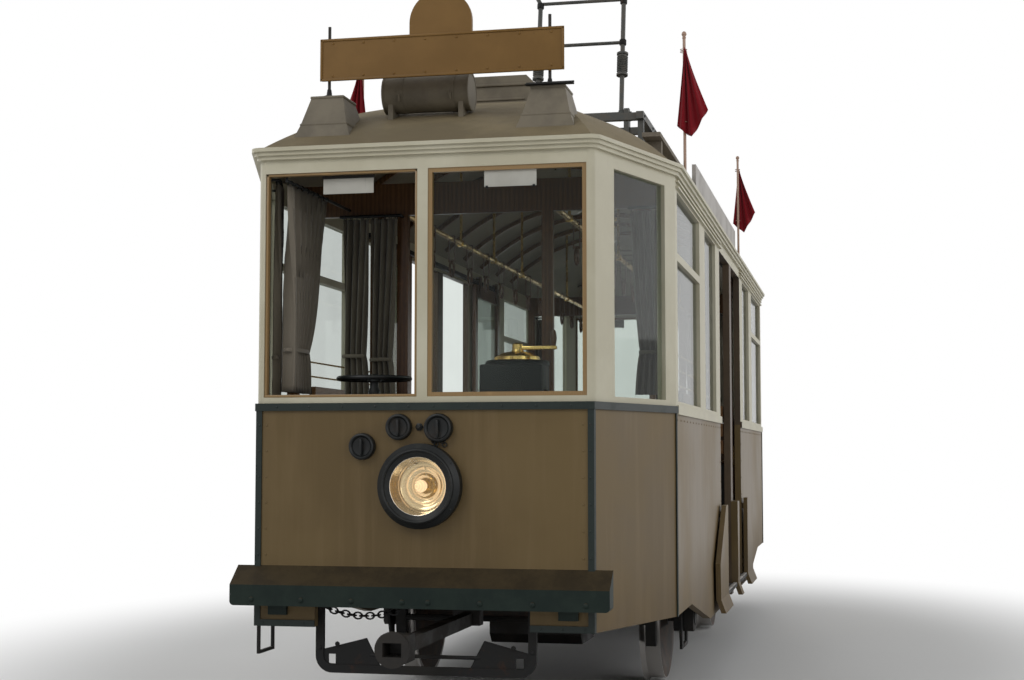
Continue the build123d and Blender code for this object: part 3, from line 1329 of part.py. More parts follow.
leaf = make_leaf()
leaf_glass = make_leaf_glass()
axle = Pos(0, -HALF_WHEELBASE, AXLE_Z) * make_axle()
wheels = Pos(0, -HALF_WHEELBASE, AXLE_Z) * make_wheels()
end_frame = make_end_frame()
wall_frame = make_wall_frame()
half_turn = Rot(0, 0, 180)

NODES = {
    "solebars": make_solebars(),
    "centre_sills": make_centre_sills(),
    "cross_beams": make_cross_beams(),
    "floor": make_floor(),
    "entrance_steps": make_steps(),
    "dash_panels": make_dash(),
    "corner_panels": make_corner_panels(),
    "side_panels": make_side_panels(),
    "wall_frame_right": wall_frame,
    "wall_frame_left": mirror(wall_frame, about=Plane.YZ),
    "end_frame_front": end_frame,
    "end_frame_rear": half_turn * end_frame,
    "window_glass": make_window_glass(),
    "window_trims": make_window_trims(),
    "green_bands": make_green_bands(),
    "side_mouldings": make_side_mouldings(),
    "cornice": make_cornice(),
    "roof": ROOF_SOLID - UNDER_ROOF,
    "bumpers": make_bumpers(),
    "couplers": make_couplers(),
    "lifeguards": make_lifeguards(),
    "step_irons": make_step_irons(),
    "headlamps": make_headlamps(),
    "headlamp_lenses": make_headlamp_lenses(),
    "signal_caps": make_signal_caps(),
    "axle_guards": make_axle_guards(),
    "axle_boxes": make_axle_boxes(),
    "leaf_springs": make_leaf_springs(),
    "brake_gear": make_brake_gear(),
    "motors": make_motors(),
    "axle_front": axle,
    "axle_rear": half_turn * axle,
    "wheels_front": wheels,
    "wheels_rear": half_turn * wheels,
    "door_right_front": leaf,
    "door_right_rear": mirror(leaf, about=Plane.XZ),
    "door_left_front": mirror(leaf, about=Plane.YZ),
    "door_left_rear": half_turn * leaf,
    "door_glass_right_front": leaf_glass,
    "door_glass_right_rear": mirror(leaf_glass, about=Plane.XZ),
    "door_glass_left_front": mirror(leaf_glass, about=Plane.YZ),
    "door_glass_left_rear": half_turn * leaf_glass,
    "door_rails": make_door_rails(),
    "step_shields": make_step_shields(),
    "bench_slats": make_bench_slats(),
    "bench_frames": make_bench_frames(),
    "partitions": make_partitions(),
    "cab_controls": together([make_controllers(), make_brake_columns()]),
    "curtains": make_curtains(),
    "ceiling_rails": make_ceiling_rails(),
    "roof_planks": make_roof_planks(),
    "roof_side_boards": make_roof_side_boards(),
    "roof_equipment": together([make_lamp_boxes(), make_roof_tanks(), make_roof_cases()]),
    "route_boards": make_route_boards(),
    "collector_stand": make_collector_stand(),
    "collector_bow": make_collector_bow(),
    "flag_sticks": make_flag_sticks(),
    "flags": make_flags(),
}

for name, shape in NODES.items():
    export_step(shape, f"parts/{name}.step")
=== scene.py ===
import math

import bpy
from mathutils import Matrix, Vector


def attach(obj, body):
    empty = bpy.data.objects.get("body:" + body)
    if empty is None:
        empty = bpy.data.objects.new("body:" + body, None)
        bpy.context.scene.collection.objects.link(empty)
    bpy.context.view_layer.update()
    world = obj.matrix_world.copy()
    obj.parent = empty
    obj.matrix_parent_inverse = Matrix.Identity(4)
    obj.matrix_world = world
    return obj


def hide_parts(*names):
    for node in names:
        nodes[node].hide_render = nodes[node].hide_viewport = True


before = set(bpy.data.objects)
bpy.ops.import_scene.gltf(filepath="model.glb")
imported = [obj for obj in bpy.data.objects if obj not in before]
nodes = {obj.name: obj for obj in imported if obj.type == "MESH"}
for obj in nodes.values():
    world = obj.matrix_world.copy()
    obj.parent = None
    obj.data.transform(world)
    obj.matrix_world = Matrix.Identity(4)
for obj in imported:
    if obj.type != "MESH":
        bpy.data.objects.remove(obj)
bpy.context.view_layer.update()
bpy.ops.object.select_all(action="DESELECT")


# Camera: at the photograph's place, 7 m in front of the car and 2 m to the right of its middle line,
# below the window sills and tilted up a few degrees.
bpy.ops.object.camera_add(location=(1.9879, -11.3323, 1.3672),
                          rotation=(math.radians(94.045), 0, math.radians(12.353)))
camera = bpy.context.object
camera.data.sensor_width = 36
camera.data.lens = 56.58
camera.data.clip_end = 200
bpy.context.scene.camera = camera


# Underframe, axle guards, springs, brake gear and steps: rolled steel and forgings, riveted up and
# painted black, now dull with brake dust and with rust in the corners.
class Signal:
    """A shader socket that takes part in arithmetic."""

    def __init__(self, finish, socket):
        self.finish = finish
        self.socket = socket

    def __add__(self, other):
        return self.finish.maths("ADD", self, other)

    def __radd__(self, other):
        return self.finish.maths("ADD", other, self)

    def __sub__(self, other):
        return self.finish.maths("SUBTRACT", self, other)

    def __rsub__(self, other):
        return self.finish.maths("SUBTRACT", other, self)

    def __mul__(self, other):
        return self.finish.maths("MULTIPLY", self, other)

    def __rmul__(self, other):
        return self.finish.maths("MULTIPLY", other, self)

    def __pow__(self, other):
        return self.finish.maths("POWER", self, other)

    def size(self):
        return self.finish.maths("ABSOLUTE", self)


class Finish:
    """The nodes of one material, or of the world."""

    def __init__(self, name, blocks=bpy.data.materials):
        self.block = blocks.new(name)
        self.block.use_nodes = True
        self.tree = self.block.node_tree
        self.tree.nodes.clear()

    def node(self, kind, settings=None, values=None, out=0):
        made = self.tree.nodes.new(kind)
        for key, value in (settings or {}).items():
            setattr(made, key, value)
        for key, value in (values or {}).items():
            if isinstance(value, Signal):
                self.tree.links.new(value.socket, made.inputs[key])
            else:
                made.inputs[key].default_value = value
        return Signal(self, made.outputs[out]) if made.outputs else None

    def maths(self, operation, *values):
        return self.node("ShaderNodeMath", {"operation": operation}, dict(enumerate(values)))

    def place(self, scale=(1, 1, 1)):
        """Object coordinates, stretched for one pattern."""
        here = self.node("ShaderNodeTexCoord", out="Object")
        return self.node("ShaderNodeMapping", values={"Vector": here, "Scale": scale})

    def axis(self, letter):
        return self.node("ShaderNodeSeparateXYZ", values={0: self.place()}, out=letter)

    def cloud(self, scale, detail, rough, place=None):
        """Soft noise round 0.5."""
        return self.node("ShaderNodeTexNoise", values={"Vector": place or self.place(), "Scale": scale,
                                                       "Detail": detail, "Roughness": rough})

    def step(self, value, low, high):
        """A smooth rise from 0 to 1 while value goes from low to high."""
        return self.node("ShaderNodeMapRange", {"interpolation_type": "SMOOTHSTEP"},
                         {0: value, 1: low, 2: high})

    def below(self, value, limit):
        """1 where value is below the limit, 0 above it."""
        return self.step(value, limit, limit - 0.0005)

    def patches(self, scale, detail, rough, low, high):
        """Noise drawn out to patches: 0 where it is under low, 1 where it is over high."""
        return self.step(self.cloud(scale, detail, rough), low, high)

    def colours(self, amount, first, second):
        """Colour that goes from first to second with amount."""
        ends = [colour if isinstance(colour, Signal) else (*colour, 1) for colour in (first, second)]
        return self.node("ShaderNodeMix", {"data_type": "RGBA"}, {0: amount, 6: ends[0], 7: ends[1]}, out=2)

    def coats(self, colour, *coats):
        """The colour under a row of coats, each given by its amount and its own colour."""
        for amount, coat in coats:
            colour = self.colours(amount, colour, coat)
        return colour

    def relief(self, height, depth, strength):
        return self.node("ShaderNodeBump", values={"Height": height, "Distance": depth, "Strength": strength})

    def grain(self, scale, detail, rough, depth, strength):
        """A relief of soft noise."""
        return self.relief(self.cloud(scale, detail, rough), depth, strength)

    def up(self):
        """How far the face looks upwards, from -1 to 1."""
        normal = self.node("ShaderNodeNewGeometry", out="Normal")
        return self.node("ShaderNodeSeparateXYZ", values={0: normal}, out="Z")

    def skin(self, **values):
        """One Principled surface."""
        named = {key.replace("_", " ").title().replace("Ior", "IOR"): value for key, value in values.items()}
        for key in ("Base Color", "Emission Color"):
            if key in named and not isinstance(named[key], Signal):
                named[key] = (*named[key], 1)
        return self.node("ShaderNodeBsdfPrincipled", values=named)

    def closed(self, surface):
        """Closes the material with this surface."""
        self.node("ShaderNodeOutputMaterial", values={"Surface": surface})
        return self.block

    def done(self, **values):
        """Closes the material with one Principled surface."""
        return self.closed(self.skin(**values))

    def glass(self, tint, edge_power, edge_share, share, **values):
        """Closes the material as thin clear glass, whose reflecting skin grows where it is seen edge on."""
        clear = self.node("ShaderNodeBsdfTransparent", values={"Color": (*tint, 1)})
        edge = self.node("ShaderNodeLayerWeight", values={"Blend": 0.5}, out="Facing")
        amount = edge ** edge_power * edge_share + share
        skin = self.skin(**values)
        return self.closed(self.node("ShaderNodeMixShader", values={0: amount, 1: clear, 2: skin}))


def paint(material, *names):
    """Gives CAD nodes their material."""
    for name in names:
        slots = nodes[name].data.materials
        slots.clear()
        slots.append(material)


def black_iron():
    finish = Finish("black_iron")
    dirt = finish.patches(3.5, 6, 0.65, 0.42, 0.66)
    rust = finish.patches(11, 6, 0.7, 0.58, 0.72)
    dust = finish.step(finish.up(), 0.5, 0.95) * 0.6
    colour = finish.coats((0.008, 0.008, 0.008), (dirt * 0.7, (0.020, 0.018, 0.015)),
                          (rust * 0.55, (0.045, 0.020, 0.010)), (dust, (0.042, 0.037, 0.031)))
    return finish.done(base_color=colour, roughness=0.55 + dirt * 0.25, specular_ior_level=0.2,
                       normal=finish.grain(140, 3, 0.7, 0.0006, 0.35))


IRON = black_iron()
paint(IRON, "solebars", "centre_sills", "cross_beams", "axle_guards", "leaf_springs", "brake_gear",
      "entrance_steps", "door_rails", "step_irons", "bench_frames", "lifeguards")


# Bolts of the lifeguards: forged iron heads, hammered over behind, three up each bracket and one in the
# stay that holds the tray.
def alone(piece):
    """Selects one piece and nothing else."""
    bpy.ops.object.select_all(action="DESELECT")
    piece.select_set(True)
    bpy.context.view_layer.objects.active = piece


def settled():
    """The active piece, with its place put into its mesh."""
    bpy.ops.object.transform_apply(location=True, rotation=True, scale=True)
    return bpy.context.object


def joined(pieces):
    """Several primitives as one piece."""
    alone(pieces[0])
    for piece in pieces[1:]:
        piece.select_set(True)
    if len(pieces) > 1:
        bpy.ops.object.join()
    return settled()


def modified(piece, kind, **settings):
    """Gives the piece a modifier and applies it."""
    alone(piece)
    modifier = piece.modifiers.new(kind.lower(), kind)
    for key, value in settings.items():
        setattr(modifier, key, value)
    bpy.ops.object.modifier_apply(modifier=modifier.name)
    return piece


def repeated(piece, count, step):
    """The piece in a row, a step apart."""
    return modified(piece, "ARRAY", count=count, use_relative_offset=False, use_constant_offset=True,
                    constant_offset_displace=step)


def outward():
    """Turns the faces of the active piece outwards."""
    bpy.ops.object.mode_set(mode="EDIT")
    bpy.ops.mesh.select_all(action="SELECT")
    bpy.ops.mesh.normals_make_consistent(inside=False)
    bpy.ops.object.mode_set(mode="OBJECT")


def mirrored(piece, ends=False):
    """Adds the piece's image on the car's other side, and both at the other end where ends is true."""
    modified(piece, "MIRROR", use_axis=(True, ends, False), use_mirror_merge=False)
    outward()
    return piece


def both_ends(piece):
    """Adds the piece's copy at the other end of the car, by a half turn."""
    alone(piece)
    bpy.ops.object.duplicate()
    bpy.ops.transform.rotate(value=math.pi, orient_axis="Z", center_override=(0, 0, 0))
    other = settled()
    return joined([piece, other])


def softened(piece, width, segments=2):
    """Rounds the piece's sharp edges."""
    return modified(piece, "BEVEL", width=width, segments=segments, limit_method="ANGLE")


def bar(low, high, edge=0.002):
    """A straight bar between two corners, its edges softened."""
    bpy.ops.mesh.primitive_cube_add(size=1, location=[(a + b) / 2 for a, b in zip(low, high)],
                                    scale=[b - a for a, b in zip(low, high)])
    return softened(settled(), edge)


def turned(profile, foot, facing=(0, 0, 1), steps=16):
    """A round piece: a profile of (radius, height) spun about the line that leaves foot along facing."""
    bpy.ops.mesh.primitive_plane_add(size=0.001)
    bpy.ops.object.mode_set(mode="EDIT")
    bpy.ops.mesh.merge(type="CENTER")
    bpy.ops.transform.translate(value=(profile[0][0], 0, profile[0][1]))
    for (radius, height), (next_radius, next_height) in zip(profile, profile[1:]):
        step = (next_radius - radius, 0, next_height - height)
        bpy.ops.mesh.extrude_region_move(TRANSFORM_OT_translate={"value": step})
    bpy.ops.mesh.select_all(action="SELECT")
    bpy.ops.mesh.spin(steps=steps, angle=2 * math.pi, center=(0, 0, 0), axis=(0, 0, 1))
    bpy.ops.mesh.select_all(action="SELECT")
    bpy.ops.mesh.remove_doubles(threshold=0.00005)
    bpy.ops.mesh.normals_make_consistent(inside=False)
    bpy.ops.object.mode_set(mode="OBJECT")
    piece = bpy.context.object
    piece.rotation_euler = Vector(facing).to_track_quat("Z", "Y").to_euler()
    piece.location = foot
    return settled()


def rod(start, end, radius, steps=10):
    """A round rod with softened ends."""
    along = Vector(end) - Vector(start)
    length = along.length
    soft = 0.25 * radius
    return turned([(0, 0), (radius - soft, 0), (radius, soft), (radius, length - soft),
                   (radius - soft, length), (0, length)], start, along, steps)


def dome(foot, facing, radius, height):
    """A domed rivet or screw head."""
    return turned([(0, 0), (radius, 0), (radius * 0.9, height * 0.55), (radius * 0.55, height * 0.9),
                   (0, height)], foot, facing, 8)


SMOOTH_UP_TO = math.radians(32)


def finished(piece, name, material, body="car"):
    """Names the piece, gives it its finish and sets it on its body."""
    alone(piece)
    piece.name = name
    piece.data.name = name
    piece.data.materials.clear()
    piece.data.materials.append(material)
    bpy.ops.object.shade_smooth_by_angle(angle=SMOOTH_UP_TO)
    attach(piece, body)
    return piece


FRONT, RIGHT, TOP = (0, -1, 0), (1, 0, 0), (0, 0, 1)
GUARD_Y = -4.133
GUARD_BOLTS = ((0.505, 0.700), (0.505, 0.650), (0.505, 0.470), (0.418, 0.488))
heads = [dome((x, GUARD_Y, z), FRONT, 0.012, 0.008) for x, z in GUARD_BOLTS]
finished(mirrored(joined(heads), ends=True), "lifeguard_bolts", IRON)


# Couplers, axle boxes and motors: iron castings with a coarse skin from the sand, bolted under the frame,
# and black with oil where they are handled.
def mottled(name, first, second, patches, grain, roughness, change=0.0, **values):
    """A finish that goes from one colour to another in patches, with its own roughness in them."""
    finish = Finish(name)
    amount = finish.patches(*patches)
    return finish.done(base_color=finish.colours(amount, first, second),
                       roughness=roughness + amount * change, normal=finish.grain(*grain), **values)


CASTING = mottled("oily_casting", (0.024, 0.021, 0.018), (0.009, 0.008, 0.007),
                  patches=(5, 4, 0.6, 0.4, 0.62), grain=(60, 5, 0.7, 0.0015, 0.5), roughness=0.70,
                  change=-0.28, specular_ior_level=0.25)
paint(CASTING, "couplers", "axle_boxes", "motors")


# Wheelsets: steel axles, and wheels with shrunk-on tyres, bright where the rail and the shoes rub, rusty
# brown on the discs.
AXLE_Y, AXLE_Z = 1.5, 0.4


def wheel_steel():
    finish = Finish("wheel_steel")
    squared_radius = (finish.axis("Y").size() - AXLE_Y) ** 2 + (finish.axis("Z") - AXLE_Z) ** 2
    tread = finish.step(squared_radius, 0.140, 0.143)
    rust = finish.patches(9, 6, 0.65, 0.35, 0.68)
    colour = finish.coats((0.022, 0.018, 0.015), (rust, (0.060, 0.033, 0.019)), (tread, (0.42, 0.40, 0.38)))
    return finish.done(base_color=colour, metallic=tread * 0.9 + 0.05, roughness=0.72 - tread * 0.42,
                       normal=finish.grain(90, 3, 0.6, 0.0008, 0.3))


paint(wheel_steel(), "axle_front", "axle_rear", "wheels_front", "wheels_rear")


# Floor: narrow softwood boards laid along the car and nailed to the cross beams, worn pale in the aisle
# and dark by the walls.
BOARDS_PER_METRE = 9


def floor_boards():
    finish = Finish("floor_boards")
    x = finish.axis("X")
    across = finish.maths("FRACT", x * BOARDS_PER_METRE)  # 0 to 1 over each board
    gap = finish.step((across - 0.5).size(), 0.46, 0.49)
    grain = finish.cloud(6, 8, 0.7, finish.place(scale=(14, 0.8, 14)))
    worn = finish.step(x.size(), 0.25, 0.8)
    colour = finish.coats((0.105, 0.070, 0.045), (grain, (0.27, 0.20, 0.14)),
                          (worn * 0.5, (0.07, 0.048, 0.033)), (gap, (0.012, 0.010, 0.008)))
    return finish.done(base_color=colour, roughness=0.72, normal=finish.relief(grain - gap * 2, 0.002, 0.5))


paint(floor_boards(), "floor")


# Lower panels: steel sheets over the frame, brushed with ochre-brown enamel, and the step shields that
# stand off them. The enamel has dulled unevenly, with soft vertical streaks and dust along the foot.
DUST_FROM, DUST_TO = 0.95, 0.40


def ochre_enamel():
    finish = Finish("ochre_enamel")
    patch = finish.patches(1.3, 4, 0.55, 0.36, 0.66)
    streak = finish.step(finish.cloud(3.0, 5, 0.6, finish.place(scale=(5, 5, 0.35))), 0.45, 0.72)
    foot = finish.step(finish.axis("Z"), DUST_FROM, DUST_TO)
    chips = finish.patches(26, 7, 0.75, 0.70, 0.735)
    mud = foot * finish.patches(4, 5, 0.6, 0.25, 0.7)
    colour = finish.coats((0.108, 0.071, 0.026), (patch, (0.138, 0.094, 0.038)),
                          (streak * 0.32, (0.180, 0.124, 0.060)),
                          (mud * 0.62, (0.075, 0.054, 0.034)), (chips * 0.45, (0.060, 0.036, 0.020)))
    wave = finish.cloud(2.2, 2, 0.4)
    brush = finish.cloud(220, 2, 0.5)
    return finish.done(base_color=colour, roughness=0.44 + patch * 0.10 + foot * 0.16,
                       specular_ior_level=0.28, normal=finish.relief(wave + brush * 0.012, 0.012, 0.30))


OCHRE = ochre_enamel()
paint(OCHRE, "dash_panels", "corner_panels", "side_panels", "step_shields")


# Panel screws: domed brass heads along the joints of the sheets, driven into the frame behind and painted
# over with them.
def screw_rows(*rows):
    """Rows of screw heads on all four quarters of the car: foot, direction that it faces, count, step."""
    screws = [repeated(dome(foot, facing, 0.006, 0.003), count, step) for foot, facing, count, step in rows]
    return mirrored(joined(screws), ends=True)


DASH_Y, SIDE_X = -4.196, 1.075
screws = screw_rows(((0.752, DASH_Y, 0.660), FRONT, 8, (0, 0, 0.120)),
                    ((SIDE_X, -3.300, 1.535), RIGHT, 17, (0, 0.150, 0)),
                    ((SIDE_X, -3.330, 0.640), RIGHT, 8, (0, 0, 0.125)),
                    ((SIDE_X, -0.885, 0.440), RIGHT, 9, (0, 0, 0.125)))
finished(screws, "panel_screws", OCHRE)


# Dark bands: half-round iron belt and corner strips, screwed over the panel joints and painted a green
# that is nearly black.
def dark_green():
    finish = Finish("dark_green")
    wear = finish.patches(7, 6, 0.7, 0.5, 0.68)
    scuff = finish.patches(40, 6, 0.7, 0.60, 0.70)
    colour = finish.coats((0.004, 0.010, 0.008), (wear, (0.011, 0.019, 0.015)),
                          (scuff * 0.4, (0.040, 0.034, 0.025)))
    return finish.done(base_color=colour, roughness=0.42 + wear * 0.2, specular_ior_level=0.3,
                       normal=finish.grain(30, 4, 0.6, 0.0012, 0.35))


GREEN = dark_green()
paint(GREEN, "green_bands")

# Band screws: round steel heads that hold the belt and the corner strips to the frame, under the same
# paint.
STRIP_Y, BELT_Y = -4.203, -4.208
screws = screw_rows(((0.560, STRIP_Y, 0.585), FRONT, 3, (0.100, 0, 0)),
                    ((0.060, BELT_Y, 1.585), FRONT, 5, (0.160, 0, 0)),
                    ((0.786, STRIP_Y, 0.900), FRONT, 6, (0, 0, 0.120)))
finished(screws, "band_screws", GREEN)


# Window frames, cornice and mouldings: hardwood under many coats of cream enamel, brushed, a little
# yellowed, with hairline cracks along the grain; the posts of the doorways are brown.
DOORWAYS_Y, LINTEL_Z = 0.858, 2.691


def cream_enamel():
    finish = Finish("cream_enamel")
    tone = finish.patches(2.0, 5, 0.6, 0.35, 0.68)
    brush = finish.cloud(9, 5, 0.7, finish.place(scale=(9, 9, 0.6)))
    crack = finish.step(finish.cloud(60, 6, 0.8, finish.place(scale=(3, 3, 0.3))), 0.70, 0.76)
    streak = finish.step(brush, 0.55, 0.8)
    posts = finish.below(finish.axis("Y").size(), DOORWAYS_Y) * finish.below(finish.axis("Z"), LINTEL_Z)
    brown = finish.colours(tone, (0.050, 0.032, 0.017), (0.085, 0.057, 0.032))
    colour = finish.coats((0.470, 0.435, 0.318), (tone, (0.560, 0.527, 0.405)),
                          (streak * 0.25, (0.400, 0.350, 0.250)), (crack * 0.35, (0.20, 0.15, 0.10)),
                          (posts, brown))
    return finish.done(base_color=colour, roughness=0.45 + tone * 0.1, specular_ior_level=0.35,
                       normal=finish.relief(brush * 0.6 + crack, 0.0012, 0.35))


CREAM = cream_enamel()
paint(CREAM, "wall_frame_right", "wall_frame_left", "end_frame_front", "end_frame_rear", "cornice",
      "side_mouldings")


# Varnished joinery: mahogany door leaves and cab partitions, paler sashes and bench slats, French polished
# and rubbed through to the bare wood in places.
def varnished_wood(name, dark, light, stretch):
    finish = Finish(name)
    place = finish.place(scale=stretch)
    rings = finish.node("ShaderNodeTexWave", {"wave_type": "BANDS", "bands_direction": "X"},
                        {"Vector": place, "Scale": 2.2, "Distortion": 4.0, "Detail": 4.0,
                         "Detail Scale": 1.6})
    pores = finish.cloud(40, 6, 0.7, place)
    figure = finish.step(rings * 0.22 + pores * 0.85, 0.30, 0.78)
    worn = finish.patches(5, 5, 0.6, 0.60, 0.75)
    colour = finish.coats(dark, (figure, light), (worn * 0.45, [min(1, c * 1.7) for c in light]))
    return finish.done(base_color=colour, roughness=0.32 + worn * 0.25, specular_ior_level=0.35,
                       normal=finish.relief(pores, 0.0008, 0.3))


MAHOGANY = varnished_wood("mahogany", (0.062, 0.027, 0.011), (0.125, 0.058, 0.024), (6, 6, 0.5))
paint(MAHOGANY, "door_right_front", "door_right_rear", "door_left_front", "door_left_rear", "partitions")
SASH = varnished_wood("sash", (0.235, 0.145, 0.058), (0.300, 0.192, 0.082), (16, 16, 16))
paint(SASH, "window_trims")
BENCH = varnished_wood("bench_slats", (0.17, 0.080, 0.028), (0.36, 0.19, 0.080), (6, 0.5, 6))
paint(BENCH, "bench_slats")


# Window and door glass: flat drawn sheet, set in putty behind the frames, with a film of haze and dust
# in patches.
def window_pane():
    finish = Finish("window_pane")
    haze = finish.patches(2.4, 5, 0.6, 0.40, 0.80)
    dust = finish.patches(70, 4, 0.7, 0.62, 0.80)
    return finish.glass((0.90, 0.93, 0.91), 4, 0.75, haze * 0.03 + dust * 0.01 + 0.06,
                        base_color=(0.030, 0.034, 0.033), roughness=0.035, specular_ior_level=1.0)


PANE = window_pane()
paint(PANE, "window_glass", "door_glass_right_front", "door_glass_right_rear", "door_glass_left_front",
      "door_glass_left_rear")


# Brass work: ceiling rails of drawn tube, controller tops and handles, polished by hands and dull in the
# corners.
BRASS = mottled("brass", (0.70, 0.48, 0.17), (0.23, 0.145, 0.055), patches=(8, 5, 0.65, 0.42, 0.70),
                grain=(120, 3, 0.5, 0.0003, 0.3), roughness=0.24, change=0.28, metallic=0.92)
paint(BRASS, "ceiling_rails", "cab_controls")

# Runners and sill boards of the open cab windows, where the dropped sash slides: straight-grained oak,
# varnished pale.
SASH_OUT, SASH_IN, SASH_TOP = -4.189, -4.158, 2.690
SASH_LEFT, SASH_RIGHT, RUNNER_WIDE = -0.770, -0.025, 0.013
runners = [bar((x, SASH_OUT, 1.642), (x + RUNNER_WIDE, SASH_IN, SASH_TOP))
           for x in (SASH_LEFT, SASH_RIGHT - RUNNER_WIDE)]
runners += [bar((SASH_LEFT, SASH_OUT - 0.003, 1.630), (SASH_RIGHT, -4.140, 1.643), 0.003),
            bar((SASH_LEFT, SASH_OUT, SASH_TOP - 0.012), (SASH_RIGHT, SASH_IN, SASH_TOP))]
finished(both_ends(joined(runners)), "window_runners", SASH)

# Guard rods: three brass rods across the foot of each side window, let into the posts at both ends to
# keep arms inside.
ROD_X = 1.040
SIDE_WINDOWS = ((-3.266, -2.136), (-1.826, -1.136))
rods = [rod((ROD_X, y0, z), (ROD_X, y1, z), 0.005, 8) for y0, y1 in SIDE_WINDOWS
        for z in (1.720, 1.800, 1.880)]
finished(mirrored(joined(rods), ends=True), "guard_rods", BRASS)

# Door pulls: brass cups let into both faces of each leaf, near the edge that meets the doorway, each plate
# held by two screws.
PULL_Y, PULL_Z, PULL_HALF, LEAF_FACES = 0.950, 1.350, 0.018, ((1.015, 1), (0.985, -1))
PULL_CUP = [(0.013, 0), (0.015, 0.003), (0.013, 0.005), (0.010, 0.004), (0.010, 0), (0.013, 0)]
for side, sx in (("right", 1), ("left", -1)):
    for end, sy in (("front", -1), ("rear", 1)):
        y = sy * PULL_Y
        plates = []
        for face, out in LEAF_FACES:
            x0, x1 = sorted((sx * face, sx * (face + 0.003 * out)))
            facing = (sx * out, 0, 0)
            plates.append(bar((x0, y - PULL_HALF, PULL_Z - 0.080), (x1, y + PULL_HALF, PULL_Z + 0.080),
                              0.001))
            plates.append(turned(PULL_CUP, (sx * (face + 0.002 * out), y, PULL_Z), facing))
            plates += [dome((sx * (face + 0.003 * out), y, PULL_Z + dz), facing, 0.004, 0.002)
                       for dz in (-0.067, 0.067)]
        finished(joined(plates), f"door_pulls_{side}_{end}", BRASS, body=f"leaf_{side}_{end}")

# Nosings of the steps: ribbed steel strips screwed along the edge of each tread, worn bright on the ribs
# by shoes.
WORN_STEEL = mottled("worn_steel", (0.30, 0.29, 0.27), (0.10, 0.085, 0.070), patches=(14, 6, 0.7, 0.40, 0.66),
                     grain=(120, 3, 0.6, 0.0004, 0.3), roughness=0.36, change=0.3, metallic=0.85)
TREAD_Y0, TREAD_Y1 = 0.085, 0.845
strips = [bar((1.088, TREAD_Y0, 0.480), (1.112, TREAD_Y1, 0.485), 0.002)]
strips += [bar((x, TREAD_Y0, 0.484), (x + 0.004, TREAD_Y1, 0.487), 0.001) for x in (1.091, 1.098, 1.105)]
finished(mirrored(joined(strips), ends=True), "step_nosings", WORN_STEEL)


# Controllers: a sheet-iron case with a rounded front on a cast foot, a brass cap over the drum's bearing
# and a crank with a turned wooden grip.
CASE = mottled("case_enamel", (0.006, 0.007, 0.007), (0.022, 0.019, 0.016), patches=(12, 6, 0.7, 0.52, 0.70),
               grain=(40, 3, 0.5, 0.0004, 0.12), roughness=0.42, change=0.25, specular_ior_level=0.25)
CASE_X, CASE_Y, CASE_HALF = 0.38, -3.866, 0.150
CASE_LOW, CASE_HIGH = 0.885, 1.785
bpy.ops.mesh.primitive_cylinder_add(vertices=32, radius=CASE_HALF, depth=CASE_HIGH - CASE_LOW,
                                    location=(CASE_X, CASE_Y, (CASE_LOW + CASE_HIGH) / 2))
shell = softened(settled(), 0.012)
back = bar((CASE_X - CASE_HALF, CASE_Y - 0.160, CASE_LOW), (CASE_X + CASE_HALF, CASE_Y, CASE_HIGH), 0.010)
foot = bar((CASE_X - 0.158, CASE_Y - 0.165, 0.880), (CASE_X + 0.158, CASE_Y + 0.155, 0.912), 0.008)
lid = turned([(0, 1.780), (0.155, 1.780), (0.155, 1.800), (0.146, 1.808), (0, 1.808)], (CASE_X, CASE_Y, 0))
hinges = [bar((CASE_X + 0.148, CASE_Y - 0.110, z), (CASE_X + 0.158, CASE_Y - 0.060, z + 0.07))
          for z in (1.05, 1.60)]
finished(both_ends(joined([shell, back, foot, lid] + hinges)), "controller_cases", CASE)
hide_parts("cab_controls")

cap = turned([(0, 1.806), (0.110, 1.806), (0.106, 1.826), (0.070, 1.846), (0.030, 1.852), (0.026, 1.862),
              (0, 1.862)], (CASE_X, CASE_Y, 0), steps=28)
crank = bar((CASE_X - 0.016, CASE_Y - 0.012, 1.860), (CASE_X + 0.190, CASE_Y + 0.012, 1.878), 0.005)
boss = turned([(0, 1.852), (0.026, 1.852), (0.026, 1.886), (0.016, 1.894), (0, 1.894)], (CASE_X, CASE_Y, 0))
STOP_CIRCLE = 0.12
stops = []
for angle in (-2.4, -1.6, -0.8, 0.8, 1.6, 2.4):
    x, y = CASE_X + STOP_CIRCLE * math.cos(angle), CASE_Y + STOP_CIRCLE * math.sin(angle)
    stops.append(rod((x, y, 1.806), (x, y, 1.822), 0.006, 8))
finished(both_ends(joined([cap, crank, boss] + stops)), "controller_tops", BRASS)
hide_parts("cab_controls")

grip = turned([(0, 0), (0.010, 0), (0.013, 0.010), (0.016, 0.035), (0.013, 0.062), (0.009, 0.072),
               (0, 0.078)], (CASE_X + 0.174, CASE_Y, 1.878))
finished(both_ends(grip), "controller_grips", MAHOGANY)
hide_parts("cab_controls")


# Hand brakes: a wrought column on a bolted foot, with a ratchet at the floor and a spoked wheel of round
# bar, black all over.
def hoop(place, radius, thick, rotation=(0, 0, 0), steps=16, around=6, stretch=1):
    """A ring of round wire, stretched along its own X where it is a link."""
    bpy.ops.mesh.primitive_torus_add(location=place, rotation=rotation, major_radius=radius,
                                     minor_radius=thick, major_segments=steps, minor_segments=around)
    bpy.ops.transform.resize(value=(stretch, 1, 1), orient_type="LOCAL")
    return settled()


